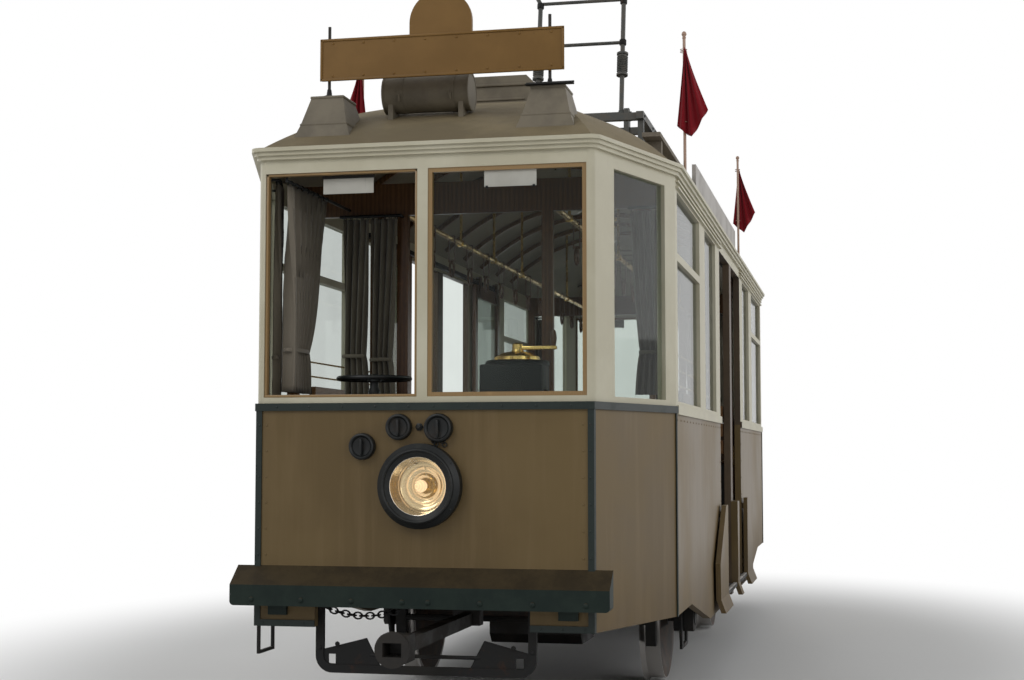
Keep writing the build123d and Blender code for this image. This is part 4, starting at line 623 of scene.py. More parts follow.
BRAKE_X, BRAKE_Y, WHEEL_Z = -0.33, -3.866, 1.73
rim = hoop((BRAKE_X, BRAKE_Y, WHEEL_Z), 0.172, 0.0115, steps=40, around=10)
spokes = []
for turn in range(6):
    angle = math.radians(60 * turn)
    end = (BRAKE_X + 0.168 * math.cos(angle), BRAKE_Y + 0.168 * math.sin(angle), WHEEL_Z)
    spokes.append(rod((BRAKE_X, BRAKE_Y, WHEEL_Z + 0.006), end, 0.008, 8))
column = turned([(0, 0.880), (0.070, 0.880), (0.070, 0.896), (0.044, 0.908), (0.026, 0.950), (0.024, 1.000),
                 (0.021, 1.640), (0.030, 1.650), (0.030, 1.670), (0.020, 1.690), (0.020, 1.712),
                 (0.034, 1.716), (0.034, 1.744), (0.014, 1.752), (0, 1.752)], (BRAKE_X, BRAKE_Y, 0))
ratchet = turned([(0.030, 0.912), (0.062, 0.912), (0.062, 0.926), (0.030, 0.926), (0.030, 0.912)],
                 (BRAKE_X, BRAKE_Y, 0), steps=20)
NUT_AT = (-0.042, 0.042)
nuts = [dome((BRAKE_X + x, BRAKE_Y + y, 0.896), TOP, 0.010, 0.010) for x in NUT_AT for y in NUT_AT]
finished(both_ends(joined([rim, column, ratchet] + spokes + nuts)), "hand_brakes", CASE)
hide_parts("cab_controls")


# Brackets of the ceiling rails and the hand straps: cast brass hangers, and loops of stitched leather that
# slide along the rails.
ARCH_RADIUS, ARCH_Z = 1.4384, 1.8216
RAIL_X = 0.42
ceiling = ARCH_Z + math.sqrt(ARCH_RADIUS ** 2 - RAIL_X ** 2)
hangers = []
for y in (-2.7, -1.8, -0.9, 0.0, 0.9, 1.8, 2.7):
    hangers.append(rod((RAIL_X, y, 2.668), (RAIL_X, y, ceiling), 0.009, 8))
    hangers.append(turned([(0, -0.010), (0.030, -0.010), (0.030, 0), (0, 0)], (RAIL_X, y, ceiling - 0.002)))
    hangers.append(bar((RAIL_X - 0.020, y - 0.012, 2.636), (RAIL_X + 0.020, y + 0.012, 2.674), 0.004))
finished(mirrored(joined(hangers)), "rail_hangers", BRASS)


def strap_leather():
    finish = Finish("strap_leather")
    wear = finish.patches(20, 6, 0.7, 0.45, 0.70)
    grain = finish.node("ShaderNodeTexVoronoi", values={"Vector": finish.place(), "Scale": 260.0})
    colour = finish.colours(wear, (0.085, 0.036, 0.016), (0.165, 0.085, 0.042))
    return finish.done(base_color=colour, roughness=0.48 + wear * 0.2,
                       normal=finish.relief(grain, 0.0006, 0.4))


STRAP_LEATHER = strap_leather()
QUARTER = math.radians(90)
STRAP_Y, STRAP_HALF, STRAPS, STRAP_GAP = -2.475, 0.0195, 12, 0.45
y0, y1 = STRAP_Y - 0.012, STRAP_Y + 0.012
leather = [bar((x, y0, 2.528), (x + 0.003, y1, 2.673), 0.001) for x in (RAIL_X - STRAP_HALF, RAIL_X + 0.0165)]
leather += [bar((RAIL_X - STRAP_HALF, y0, low), (RAIL_X + STRAP_HALF, y1, high), edge)
            for low, high, edge in ((2.671, 2.675, 0.001), (2.514, 2.530, 0.004))]
ring = hoop((RAIL_X, STRAP_Y, 2.474), 0.046, 0.008, (0, QUARTER, 0), 20, 8)
straps = repeated(joined(leather + [ring]), STRAPS, (0, STRAP_GAP, 0))
finished(mirrored(straps), "hand_straps", STRAP_LEATHER)


# Roof: tongued boards under painted canvas, beige-grey with dust and water marks; inside, the boards
# between the ribs are beige, with painted shade darkening that colour.
def roof_canvas():
    finish = Finish("roof_canvas")
    stain = finish.patches(1.6, 6, 0.65, 0.40, 0.66)
    spot = finish.patches(14, 5, 0.7, 0.58, 0.74)
    warp, weft = [finish.node("ShaderNodeTexWave", {"bands_direction": way},
                              {"Vector": finish.place(), "Scale": 90.0, "Distortion": 1.0}) for way in "XY"]
    under = finish.step(finish.up(), 0.0, -0.05)
    # Downward faces: the ceiling's beige, darkened as painted shade of the saloon's roof.
    inside = finish.colours(stain, (0.260, 0.225, 0.165), (0.200, 0.170, 0.122))
    colour = finish.coats((0.212, 0.170, 0.098), (stain, (0.150, 0.120, 0.070)),
                          (spot * 0.4, (0.110, 0.094, 0.068)), (under, inside))
    return finish.done(base_color=colour, roughness=0.80 - under * 0.25, specular_ior_level=0.25,
                       normal=finish.relief(warp + weft + stain, 0.0007, 0.4))


CANVAS = roof_canvas()
paint(CANVAS, "roof")

# Edge strip of the roof canvas: a wooden batten tacked down over the cloth's edge along the cornice, and
# painted with it.
BATTEN_TOP = 2.834
batten = bar((1.050, -3.300, 2.812), (1.072, 3.300, BATTEN_TOP), 0.005)
tacks = repeated(dome((1.061, -3.250, BATTEN_TOP), TOP, 0.005, 0.003), 44, (0, 0.150, 0))
finished(mirrored(joined([batten, tacks])), "canvas_battens", CANVAS)


# Ceiling ribs: ash steamed and bent to the roof's curve, screwed up under the boards from wall to wall,
# and varnished.
CROWN_Z = ARCH_Z + ARCH_RADIUS
RIB_DEEP, RIB_WIDE, FIRST_RIB_Y, RIBS, RIB_GAP = 0.032, 0.036, -2.2, 9, 0.55
SPREAD = math.radians(44)
arch_middle = (0, FIRST_RIB_Y, ARCH_Z)
crown = (0, FIRST_RIB_Y, CROWN_Z - RIB_DEEP / 2 - 0.001)
bpy.ops.mesh.primitive_plane_add(size=1)
bpy.ops.transform.resize(value=(RIB_DEEP, RIB_WIDE, 1))
bpy.ops.transform.translate(value=crown)
bpy.ops.transform.rotate(value=QUARTER, orient_axis="Y", center_override=crown)
settled()
bpy.ops.object.mode_set(mode="EDIT")
bpy.ops.mesh.select_all(action="SELECT")
bpy.ops.transform.rotate(value=-SPREAD, orient_axis="Y", center_override=arch_middle)
bpy.ops.mesh.spin(steps=22, angle=2 * SPREAD, center=arch_middle, axis=(0, 1, 0))
bpy.ops.object.mode_set(mode="OBJECT")
ribs = repeated(softened(bpy.context.object, 0.004, 1), RIBS, (0, RIB_GAP, 0))
outward()
RIB_WOOD = varnished_wood("rib_wood", (0.085, 0.040, 0.016), (0.180, 0.090, 0.036), (6, 6, 6))
finished(ribs, "ceiling_ribs", RIB_WOOD)


# Ceiling lamps of the saloon: a turned brass rose with its gallery, screwed up under the roof's crown, and
# an opal glass bell held in it.
LAMPS_Y = (-1.925, -0.275, 1.375)
ROSE = [(0, -0.001), (0.085, -0.001), (0.085, -0.014), (0.070, -0.024), (0.034, -0.030), (0.034, -0.062),
        (0.060, -0.070), (0.060, -0.080), (0, -0.080)]
BELL = [(0, -0.080), (0.052, -0.080), (0.070, -0.098), (0.082, -0.140), (0.074, -0.186), (0.040, -0.212),
        (0, -0.218)]
OPAL = mottled("opal_glass", (0.78, 0.76, 0.70), (0.66, 0.64, 0.58), patches=(9, 3, 0.5, 0.3, 0.8),
               grain=(30, 2, 0.5, 0.0004, 0.2), roughness=0.18, coat_weight=0.4)
roses, bells = [joined([turned(profile, (0, y, CROWN_Z), steps=24) for y in LAMPS_Y])
                for profile in (ROSE, BELL)]
finished(roses, "ceiling_lamp_roses", BRASS)
finished(bells, "ceiling_lamp_bells", OPAL)


# Roof planks: oiled walking boards on cleats over the canvas, from which the bow is reached, grey from
# the weather.
def grey_planks():
    finish = Finish("grey_planks")
    grain = finish.cloud(9, 8, 0.75, finish.place(scale=(12, 0.7, 12)))
    colour = finish.colours(grain, (0.085, 0.070, 0.052), (0.26, 0.225, 0.175))
    return finish.done(base_color=colour, roughness=0.82, normal=finish.relief(grain, 0.0025, 0.6))


paint(grey_planks(), "roof_planks")


# Side boards: enamelled steel boards that stand on edge along the roof, blank, off-white with a grey
# bloom.
def white_enamel(name, light, dark):
    finish = Finish(name)
    bloom = finish.patches(3, 5, 0.6, 0.38, 0.70)
    run = finish.step(finish.cloud(10, 6, 0.7, finish.place(scale=(3, 3, 0.3))), 0.60, 0.78)
    colour = finish.coats(light, (bloom, dark), (run * 0.4, [c * 0.45 for c in dark]))
    return finish.done(base_color=colour, roughness=0.48 + bloom * 0.1, specular_ior_level=0.3,
                       normal=finish.grain(16, 3, 0.5, 0.0010, 0.25))


paint(white_enamel("side_boards", (0.40, 0.375, 0.345), (0.30, 0.275, 0.250)), "roof_side_boards")

# Window plates: small enamelled plates, left blank, one hung in the open window from a black holder and
# one set against the closed pane.
PANE_Y = -4.1765
plates = [bar((-0.500, -4.147, 2.592), (-0.252, -4.144, 2.668), 0.001),
          bar((0.290, PANE_Y - 0.003, 2.594), (0.536, PANE_Y, 2.674), 0.001)]
PLATE_ENAMEL = white_enamel("plate_enamel", (0.47, 0.46, 0.41), (0.38, 0.365, 0.32))
finished(both_ends(joined(plates)), "window_plates", PLATE_ENAMEL)
holders = [bar((-0.504, -4.151, 2.664), (-0.248, -4.142, 2.700), 0.002)]
holders += [dome((x, -4.142, 2.684), (0, 1, 0), 0.005, 0.003) for x in (-0.470, -0.282)]
holders += [bar((x, PANE_Y - 0.005, 2.588), (x + 0.012, PANE_Y, 2.600), 0.001) for x in (0.296, 0.518)]
finished(both_ends(joined(holders)), "plate_holders", IRON)


# Roof equipment: drum, resistance cases and lamp boxes of folded and riveted sheet steel, painted the same
# grey-beige as the roof.
ROOF_GREY = mottled("roof_grey", (0.175, 0.150, 0.108), (0.120, 0.103, 0.075),
                    patches=(4, 6, 0.65, 0.40, 0.68), grain=(25, 4, 0.6, 0.001, 0.3), roughness=0.62,
                    specular_ior_level=0.3)
paint(ROOF_GREY, "roof_equipment")

# Fittings of the drum: two steel straps with tightening bolts, a rolled rim at each end and a plug on top,
# all under the drum's paint.
DRUM_Y, DRUM_Z, DRUM_R = -3.716, 3.15, 0.092
DRUM_STRAPS_X = (-0.230, 0.030)
STRAP = [(DRUM_R - 0.004, -0.016), (DRUM_R + 0.003, -0.016), (DRUM_R + 0.003, 0.016), (DRUM_R - 0.004, 0.016),
         (DRUM_R - 0.004, -0.016)]
RIM = [(DRUM_R - 0.006, -0.006), (DRUM_R + 0.005, -0.004), (DRUM_R + 0.005, 0.004), (DRUM_R - 0.006, 0.006),
       (DRUM_R - 0.012, 0), (DRUM_R - 0.006, -0.006)]
straps = [turned(STRAP, (x, DRUM_Y, DRUM_Z), RIGHT, 32) for x in DRUM_STRAPS_X]
rims = [turned(RIM, (x, DRUM_Y, DRUM_Z), RIGHT, 32) for x in (-0.317, 0.115)]
bolts = [rod((x, DRUM_Y - 0.090, DRUM_Z - 0.050), (x, DRUM_Y - 0.104, DRUM_Z - 0.018), 0.007, 8)
         for x in DRUM_STRAPS_X]
plug = turned([(0, 0.088), (0.020, 0.088), (0.020, 0.106), (0.012, 0.112), (0.012, 0.124), (0, 0.124)],
              (-0.100, DRUM_Y, DRUM_Z))
finished(both_ends(joined(straps + rims + bolts + [plug])), "drum_fittings", ROOF_GREY)

# Lids and louvres of the resistance cases, and caps and ledges of the lamp boxes: folded sheet steel,
# under the same paint.
case_lid = bar((-0.282, -2.958, 3.352), (0.282, -2.234, 3.366), 0.004)
slats = repeated(bar((-0.276, -2.880, 2.990), (-0.268, -2.320, 3.004), 0.003), 8, (0, 0, 0.042))
front_slats = repeated(bar((-0.220, -2.954, 3.010), (0.220, -2.946, 3.022), 0.003), 7, (0, 0, 0.044))
louvres = joined([mirrored(slats), front_slats])
caps = mirrored(bar((0.462, -3.968, 3.094), (0.634, -3.764, 3.108), 0.005))
ledges = mirrored(bar((0.428, -4.020, 2.952), (0.668, -3.712, 2.964), 0.004))
finished(both_ends(joined([case_lid, louvres, caps, ledges])), "box_lids", ROOF_GREY)

# Angle iron across the top of the right lamp box: a short length of rolled steel, painted black and
# bolted through the cap.
IRON_X0, IRON_X1, BOX_TOP = 0.440, 0.672, 3.108
flat = bar((IRON_X0, -3.990, BOX_TOP), (IRON_X1, -3.950, BOX_TOP + 0.004), 0.001)
stem = bar((IRON_X0, -3.954, BOX_TOP), (IRON_X1, -3.949, BOX_TOP + 0.018), 0.001)
heads = [dome((x, -3.972, BOX_TOP + 0.004), TOP, 0.009, 0.007) for x in (0.480, 0.600)]
finished(both_ends(joined([flat, stem] + heads)), "lamp_box_irons", IRON)


# Route boards: steel plates with a round-topped number plate over them, in mustard enamel, left blank, on
# black rods that show above, below and behind them.
BOARD_FOOT, BOARD_HEAD, BOARD_BACK = 3.1800, 3.3905, 3.9355


def mustard():
    finish = Finish("mustard")
    tone = finish.patches(3, 5, 0.6, 0.35, 0.7)
    chips = finish.patches(30, 6, 0.75, 0.66, 0.70)
    z = finish.axis("Z")
    outer = finish.step(finish.axis("X").size(), 0.500, 0.505)
    below = finish.below(z, BOARD_FOOT)
    above = 1 - finish.below(z, BOARD_HEAD)
    behind = finish.below(finish.axis("Y").size(), BOARD_BACK)
    rods = outer * (below + above + behind)
    colour = finish.coats((0.145, 0.074, 0.014), (tone, (0.182, 0.096, 0.022)),
                          (chips * 0.5, (0.055, 0.028, 0.010)), (rods, (0.018, 0.015, 0.012)))
    return finish.done(base_color=colour, roughness=0.50, specular_ior_level=0.25,
                       normal=finish.grain(20, 3, 0.5, 0.0008, 0.25))


MUSTARD = mustard()
paint(MUSTARD, "route_boards")

# Rims and clamps of the route boards: a half-round iron edging riveted round the sheet, and two clips that
# hold each rod.
BOARD_Y = -3.946
x0, x1, z0, z1 = -0.582, 0.622, 3.185, 3.385  # the sheet's left, right, foot and head
RIM_BARS = ((x0 - 0.004, x1 + 0.004, z0 - 0.004, z0 + 0.008),
            (x0 - 0.004, x1 + 0.004, z1 - 0.008, z1 + 0.004),
            (x0 - 0.004, x0 + 0.008, z0, z1), (x1 - 0.008, x1 + 0.004, z0, z1))
rims = [bar((left, BOARD_Y - 0.017, low), (right, BOARD_Y - 0.009, high))
        for left, right, low, high in RIM_BARS]
rivets = [repeated(dome((x0 + 0.060, BOARD_Y - 0.012, z), FRONT, 0.007, 0.004), 8, (0.155, 0, 0))
          for z in (z0 + 0.020, z1 - 0.020)]
finished(both_ends(joined(rims + rivets)), "route_board_rims", MUSTARD)

CLIP_BACK_Y = BOARD_Y + 0.034
clips = []
for rod_x in (-0.547, 0.552):
    for z in (3.225, 3.345):
        clips.append(bar((rod_x - 0.030, BOARD_Y + 0.010, z - 0.014),
                         (rod_x + 0.030, CLIP_BACK_Y, z + 0.014), 0.004))
        clips += [dome((rod_x + dx, CLIP_BACK_Y, z), (0, 1, 0), 0.006, 0.005) for dx in (-0.021, 0.021)]
    clips.append(turned([(0, 0), (0.030, 0), (0.030, 0.006), (0.014, 0.012), (0.010, 0.040), (0, 0.040)],
                        (rod_x, BOARD_Y + 0.012, 3.104)))
finished(both_ends(joined(clips)), "route_board_clips", IRON)


# Collector stand and bow: steel angle and tube, riveted up, galvanised once and now dark grey-green with
# brown stains.
DARK_STEEL = mottled("dark_steel", (0.045, 0.048, 0.044), (0.095, 0.085, 0.070),
                     patches=(12, 6, 0.7, 0.42, 0.68), grain=(80, 3, 0.6, 0.0006, 0.3), roughness=0.5,
                     change=0.2, metallic=0.35)
paint(DARK_STEEL, "collector_stand", "collector_bow")

# Springs of the bow: close coils of round wire about the cans that press the bow up, with collars above
# and below.
LEAN = math.radians(10)
ALONG = Vector((0, math.sin(LEAN), math.cos(LEAN)))
PIVOT_Z, LEG_X = 3.800, 0.310
LEGS = [Vector((x, 0, PIVOT_Z)) for x in (-LEG_X, LEG_X)]
SPRING_FOOT, COIL_RISE, COILS = 0.335, 0.0135, 9
COLLAR = [(0.015, 0), (0.042, 0), (0.042, 0.014), (0.015, 0.014), (0.015, 0)]
coils = []
for leg in LEGS:
    coils += [hoop(leg + ALONG * (SPRING_FOOT + COIL_RISE * turn), 0.036, 0.0048, (-LEAN, 0, 0))
              for turn in range(COILS)]
    coils += [turned(COLLAR, leg + ALONG * up, ALONG, 16) for up in (0.300, 0.462)]
finished(joined(coils), "bow_springs", DARK_STEEL, body="collector")

# Clamps of the bow: turned steel collars where the crossbars and the splayed arms meet the legs, each
# drawn tight by its bolt.
CLAMP = [(0.012, 0), (0.024, 0), (0.026, 0.004), (0.026, 0.036), (0.024, 0.040), (0.012, 0.040), (0.012, 0)]
clamps = []
for leg in LEGS:
    for up in (0.540, 0.865):
        spot = leg + ALONG * up
        clamps.append(turned(CLAMP, spot, ALONG, 12))
        clamps.append(rod(spot + Vector((0, -0.030, 0.018)), spot + Vector((0, 0.034, 0.024)), 0.006, 8))
finished(joined(clamps), "bow_clamps", IRON, body="collector")

# Bolts of the trestle: forged steel heads, one through each end of the braces and two in each bearing's
# foot.
heads = [dome((0.545, y, 3.675), RIGHT, 0.011, 0.008) for y in (-0.50, -0.06, 0.06, 0.50)]
heads += [dome((0.370, y, 3.760), RIGHT, 0.009, 0.007) for y in (-0.028, 0.028)]
finished(mirrored(joined(heads)), "trestle_bolts", IRON)


# Headlamps: a spun black ring screwed to the dash round a silvered bowl with fine flutes, a pressed lens in
# front and a lit bulb within; the bowl has a faint warm glow painted on as light from the bulb.
LAMP_Z = 1.22


def lamp_radius(finish):
    """Distance from the middle line of the headlamps."""
    return (finish.axis("X") ** 2 + (finish.axis("Z") - LAMP_Z) ** 2) ** 0.5


BOWL_RADIUS = 0.1325


def lamp_metal():
    finish = Finish("lamp_metal")
    radius = lamp_radius(finish)
    ring = finish.step(radius, BOWL_RADIUS, BOWL_RADIUS + 0.001)
    wear = finish.patches(22, 6, 0.7, 0.50, 0.70)
    black = finish.colours(wear, (0.004, 0.005, 0.005), (0.014, 0.015, 0.013))
    flute = finish.maths("SINE", radius * 230)
    silver = finish.colours(flute * 0.5 + 0.5, (0.76, 0.73, 0.68), (0.62, 0.58, 0.53))
    colour = finish.colours(ring, silver, black)
    # The silvered bowl emits a faint warm colour: painted light of the bulb, the bowl being no lamp.
    return finish.done(base_color=colour, metallic=1 - ring, roughness=0.12 + ring * 0.34,
                       emission_color=finish.colours(ring, (0.80, 0.70, 0.54), (0, 0, 0)),
                       emission_strength=0.05, specular_ior_level=0.25,
                       normal=finish.relief(flute * (1 - ring), 0.0015, 0.5))


LAMP_BLACK = lamp_metal()
paint(LAMP_BLACK, "headlamps")


def lamp_lens():
    finish = Finish("lamp_lens")
    ribs = finish.maths("SINE", lamp_radius(finish) * 520)
    return finish.glass((1.0, 0.95, 0.84), 3, 0.6, ribs * 0.04 + 0.12, base_color=(0.34, 0.29, 0.21),
                        roughness=0.06, specular_ior_level=0.6, normal=finish.relief(ribs, 0.0012, 0.6))


paint(lamp_lens(), "headlamp_lenses")


# Bezels of the headlamps: a rolled bead round the glass, in the ring's black, and four clamp screws in
# the rim.
bead = turned([(0.154, 0.070), (0.157, 0.081), (0.163, 0.085), (0.169, 0.081), (0.172, 0.070),
               (0.154, 0.070)], (0, DASH_Y, LAMP_Z), FRONT, 48)
RIM_Y, SCREW_CIRCLE = -4.252, 0.183
screws = [dome((SCREW_CIRCLE * math.cos(a), RIM_Y, LAMP_Z + SCREW_CIRCLE * math.sin(a)), FRONT, 0.008, 0.007)
          for a in (0.6, 2.54, 3.74, 5.68)]
finished(both_ends(joined([bead] + screws)), "headlamp_bezels", LAMP_BLACK)


# Bulbs: pear-shaped glass lamps, lit, each in a turned brass holder that is screwed to the back of the
# bowl.
def lit_bulb():
    finish = Finish("lit_bulb")
    glow = finish.step(finish.axis("Y").size(), 4.155, 4.175)
    colour = finish.colours(glow, (0.35, 0.26, 0.14), (1.0, 0.86, 0.62))
    return finish.done(base_color=colour, roughness=0.2,
                       emission_color=finish.colours(glow, (0, 0, 0), (1.0, 0.80, 0.62)),
                       emission_strength=0.9)


BOWL_BACK = (0, -4.113, LAMP_Z)
holder = turned([(0, 0), (0.024, 0), (0.024, 0.012), (0.018, 0.016), (0.018, 0.050), (0, 0.050)], BOWL_BACK,
                FRONT)
finished(both_ends(holder), "headlamp_holders", BRASS)
bulb = turned([(0, 0.040), (0.013, 0.040), (0.016, 0.052), (0.026, 0.072), (0.029, 0.088), (0.024, 0.104),
               (0.012, 0.114), (0, 0.117)], BOWL_BACK, FRONT, 24)
finished(both_ends(bulb), "headlamp_bulbs", lit_bulb())


# Caps over the dash sockets: dished iron covers, black, each with a rolled rim and an upright finger bar,
# a bolt head between the upper two, and the keeper chain of the right one.
CAPS = ((-0.280, 1.401, 0.062), (-0.105, 1.490, 0.061), (0.083, 1.485, 0.067))
covers = []
for x, z, radius in CAPS:
    covers.append(turned([(0, 0), (radius, 0), (radius, 0.024), (radius - 0.003, 0.034),
                          (radius - 0.010, 0.038), (radius - 0.016, 0.034), (radius - 0.020, 0.026),
                          (0.020, 0.022), (0, 0.022)],
                         (x, DASH_Y, z), FRONT, 36))
    covers.append(bar((x - 0.006, -4.238, z - 0.62 * radius), (x + 0.006, -4.214, z + 0.55 * radius), 0.004))
covers.append(turned([(0, 0), (0.019, 0), (0.019, 0.006), (0.012, 0.010), (0.012, 0.020), (0.006, 0.024),
                      (0, 0.024)], (-0.010, DASH_Y, 1.490), FRONT, 6))
for x, z, turn in ((0.062, 1.424, 0.0), (0.072, 1.412, 1.2), (0.104, 1.424, 0.3), (0.112, 1.408, 1.4)):
    covers.append(hoop((x, -4.206, z), 0.010, 0.003, (QUARTER, turn, 0), 12))
finished(both_ends(joined(covers)), "socket_caps", CASE)
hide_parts("signal_caps")


# Bumpers: plate folded to a trough and bolted to the ends of the frame, in the dark green, the sloping
# top walked brown.
def bumper_paint():
    finish = Finish("bumper_paint")
    worn = finish.step(finish.up(), 0.35, 0.6)
    patch = finish.patches(6, 6, 0.7, 0.35, 0.65)
    face = finish.colours(patch, (0.003, 0.009, 0.007), (0.009, 0.017, 0.013))
    top = finish.colours(patch, (0.022, 0.015, 0.006), (0.040, 0.028, 0.012))
    return finish.done(base_color=finish.colours(worn, face, top), roughness=0.55 + worn * 0.2,
                       specular_ior_level=0.2, normal=finish.grain(18, 5, 0.6, 0.002, 0.4))


BUMPER = bumper_paint()
paint(BUMPER, "bumpers")

# Coach bolts of the bumpers: mushroom heads along the face, with their nuts behind the frame, in the same
# paint.
BUMPER_Y, BUMPER_Z = -4.301, 0.700
heads = [dome((x, BUMPER_Y, BUMPER_Z), FRONT, 0.013, 0.008) for x in (0.060, 0.300, 0.540, 0.780)]
finished(mirrored(joined(heads), ends=True), "bumper_bolts", BUMPER)

# Safety chains: forged iron links that loop from the drawbar's hanger to the lifeguard's left leg, black
# with grease.
CHAIN_X, CHAIN_Y, CHAIN_Z = -0.105, -4.165, 0.655
REACH, SAG, LINKS = 0.350, 0.13, 13
links = []
for link in range(LINKS):
    t = link / (LINKS - 1)
    slope = math.atan2(-SAG * (1 - 2 * t), -REACH)
    links.append(hoop((CHAIN_X - REACH * t, CHAIN_Y, CHAIN_Z - SAG * t * (1 - t)), 0.015, 0.004,
                      (QUARTER * (link % 2), -slope, 0), 12, stretch=1.35))
finished(both_ends(joined(links)), "safety_chains", IRON)


# Curtains of the cabs: heavy grey-brown cotton, unlined, gathered on japanned rings and tied back at sill
# height with a band of the same cloth.
def curtain_cotton():
    finish = Finish("curtain_cotton")
    weave = finish.cloud(420, 2, 0.5, finish.place(scale=(1, 1, 0.5)))
    tone = finish.cloud(3, 4, 0.6)
    colour = finish.colours(tone, (0.122, 0.104, 0.078), (0.190, 0.165, 0.126))
    return finish.done(base_color=colour, roughness=0.92, sheen_weight=0.25,
                       normal=finish.relief(weave, 0.0008, 0.5))


CLOTH_THICK = 0.0014


def cloth(name, rows, material):
    """A sheet through rows of points from its top to its hem, with the cloth's thickness."""
    across = len(rows[0])
    faces = [(r * across + c, r * across + c + 1, (r + 1) * across + c + 1, (r + 1) * across + c)
             for r in range(len(rows) - 1) for c in range(across - 1)]
    mesh = bpy.data.meshes.new(name)
    mesh.from_pydata([point for line in rows for point in line], [], faces)
    piece = bpy.data.objects.new(name, mesh)
    bpy.context.collection.objects.link(piece)
    modified(piece, "SOLIDIFY", thickness=CLOTH_THICK)
    mesh.materials.append(material)
    bpy.ops.object.shade_smooth()
    return piece


def gathered(width, flat, folds, most, lean):
    """Places across gathered cloth, (along, deep), whose folds take up the flat width."""
    points = folds * 8

    def line(swing):
        places = []
        for k in range(points + 1):
            t = k / points
            turn = 2 * math.pi * folds * t + lean
            uneven = 0.75 + 0.25 * math.sin(5 * t + 2 * lean)
            along = width * t + 0.12 * width / folds * math.sin(2 * turn)
            places.append((along, swing * uneven * math.sin(turn)))
        return places

    low, high = 0.0, most  # the swing whose run is the flat width, by halving
    for _ in range(16):
        middle = (low + high) / 2
        run = sum(math.dist(a, b) for a, b in zip(line(middle), line(middle)[1:]))
        low, high = (middle, high) if run < flat else (low, middle)
    return line(low)


COTTON = curtain_cotton()
paint(COTTON, "curtains")
TAPER = (-0.3135, 0.9496)
SIDE_ROD_X, CROSS_ROD_Y = -0.684, -3.235
# Name, corner at the post, direction along, direction inwards, widths at top, tie and hem, flat width,
# folds, deepest swing, heights of top, tie and hem
CURTAINS = (
    ("corner", (-0.756, -4.061), TAPER, (0.9496, 0.3135), (0.300, 0.120, 0.180), 0.70,
     9, 0.022, (2.665, 1.830, 1.605)),
    ("side", (SIDE_ROD_X, -4.110), (0, 1), (1, 0), (0.555, 0.235, 0.290), 0.95,
     7, 0.040, (2.648, 1.860, 1.660)),
    ("cross_outer", (-0.698, CROSS_ROD_Y), (1, 0), (0, 1), (0.142, 0.118, 0.138), 0.38,
     4, 0.028, (2.605, 1.880, 1.665)),
    ("cross_inner", (-0.546, CROSS_ROD_Y), (1, 0), (0, 1), (0.144, 0.108, 0.130), 0.38,
     4, 0.028, (2.605, 1.860, 1.665)),
    ("cross_far", (0.980, CROSS_ROD_Y), (-1, 0), (0, 1), (0.150, 0.100, 0.125), 0.38,
     4, 0.028, (2.605, 1.880, 1.665)),
)
STEPS_DOWN = 30
rings = []
ties = []
for label, (x, y), along, inwards, widths, flat, folds, most, heights in CURTAINS:
    top, tie, hem = heights
    rows = []
    for step in range(STEPS_DOWN + 1):
        z = top + (hem - top) * step / STEPS_DOWN
        if z > tie:  # narrowing to the tie, then spreading to the hem
            share = ((z - tie) / (top - tie)) ** 0.75
            width = widths[1] + (widths[0] - widths[1]) * share
        else:
            share = math.sqrt((tie - z) / (tie - hem))
            width = widths[1] + (widths[2] - widths[1]) * share
        lean = 0.5 * math.sin(4 * z) + 0.4 * step / STEPS_DOWN
        rows.append([(x + along[0] * a + inwards[0] * d, y + along[1] * a + inwards[1] * d, z)
                     for a, d in gathered(width, flat, folds, most, lean)])
    for end, sign in (("front", 1), ("rear", -1)):
        hung = [[(sign * px, sign * py, pz) for px, py, pz in line] for line in rows]
        piece = cloth(f"curtain_{label}_{end}", hung, COTTON)
        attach(piece, "car")
        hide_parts("curtains")
    bearing = math.atan2(along[1], along[0])
    reach = widths[1] / 2
    middle = (x + along[0] * reach, y + along[1] * reach, tie)
    bpy.ops.mesh.primitive_torus_add(location=middle, major_radius=1, minor_radius=0.06, major_segments=28,
                                     minor_segments=8)
    bpy.ops.transform.resize(value=(reach + 0.004, most + 0.004, 0.16))
    bpy.ops.transform.rotate(value=-bearing, orient_axis="Z", center_override=middle)
    ties.append(settled())
    for ring in range(folds + 1):
        a = widths[0] * (ring + 0.25) / (folds + 0.5)
        rings.append(hoop((x + along[0] * a, y + along[1] * a, top + 0.010), 0.014, 0.002,
                          (QUARTER, 0, bearing + QUARTER), 14, 5))
finished(both_ends(joined(ties)), "curtain_ties", COTTON)
finished(both_ends(joined(rings)), "curtain_rings", CASE)

# Curtain rails: iron rod, japanned black, between the end frame and the partition, and on short brackets
# screwed to the posts.
SIDE_Z, CROSS_Z, CORNER_Z = 2.664, 2.621, 2.681
rails = [rod((SIDE_ROD_X, -4.151, SIDE_Z), (SIDE_ROD_X, -3.180, SIDE_Z), 0.008),
         rod((SIDE_ROD_X, -4.143, 2.656), (SIDE_ROD_X, -4.143, 2.715), 0.007, 8),
         rod((-0.722, CROSS_ROD_Y, CROSS_Z), (-0.380, CROSS_ROD_Y, CROSS_Z), 0.008),
         rod((0.820, CROSS_ROD_Y, CROSS_Z), (1.000, CROSS_ROD_Y, CROSS_Z), 0.008),
         rod((-0.752, -4.073, CORNER_Z), (-0.855, -3.760, CORNER_Z), 0.008)]
rails += [rod((x, CROSS_ROD_Y, CROSS_Z), (x, -3.178, CROSS_Z), 0.006, 8)
          for x in (-0.716, -0.386, 0.828, 0.990)]
rails += [rod((-0.750, -4.078, CORNER_Z), (-0.801, -4.095, CORNER_Z), 0.006, 8),
          rod((-0.852, -3.768, CORNER_Z), (-0.896, -3.783, CORNER_Z), 0.006, 8)]
finished(both_ends(joined(rails)), "curtain_rails", CASE)


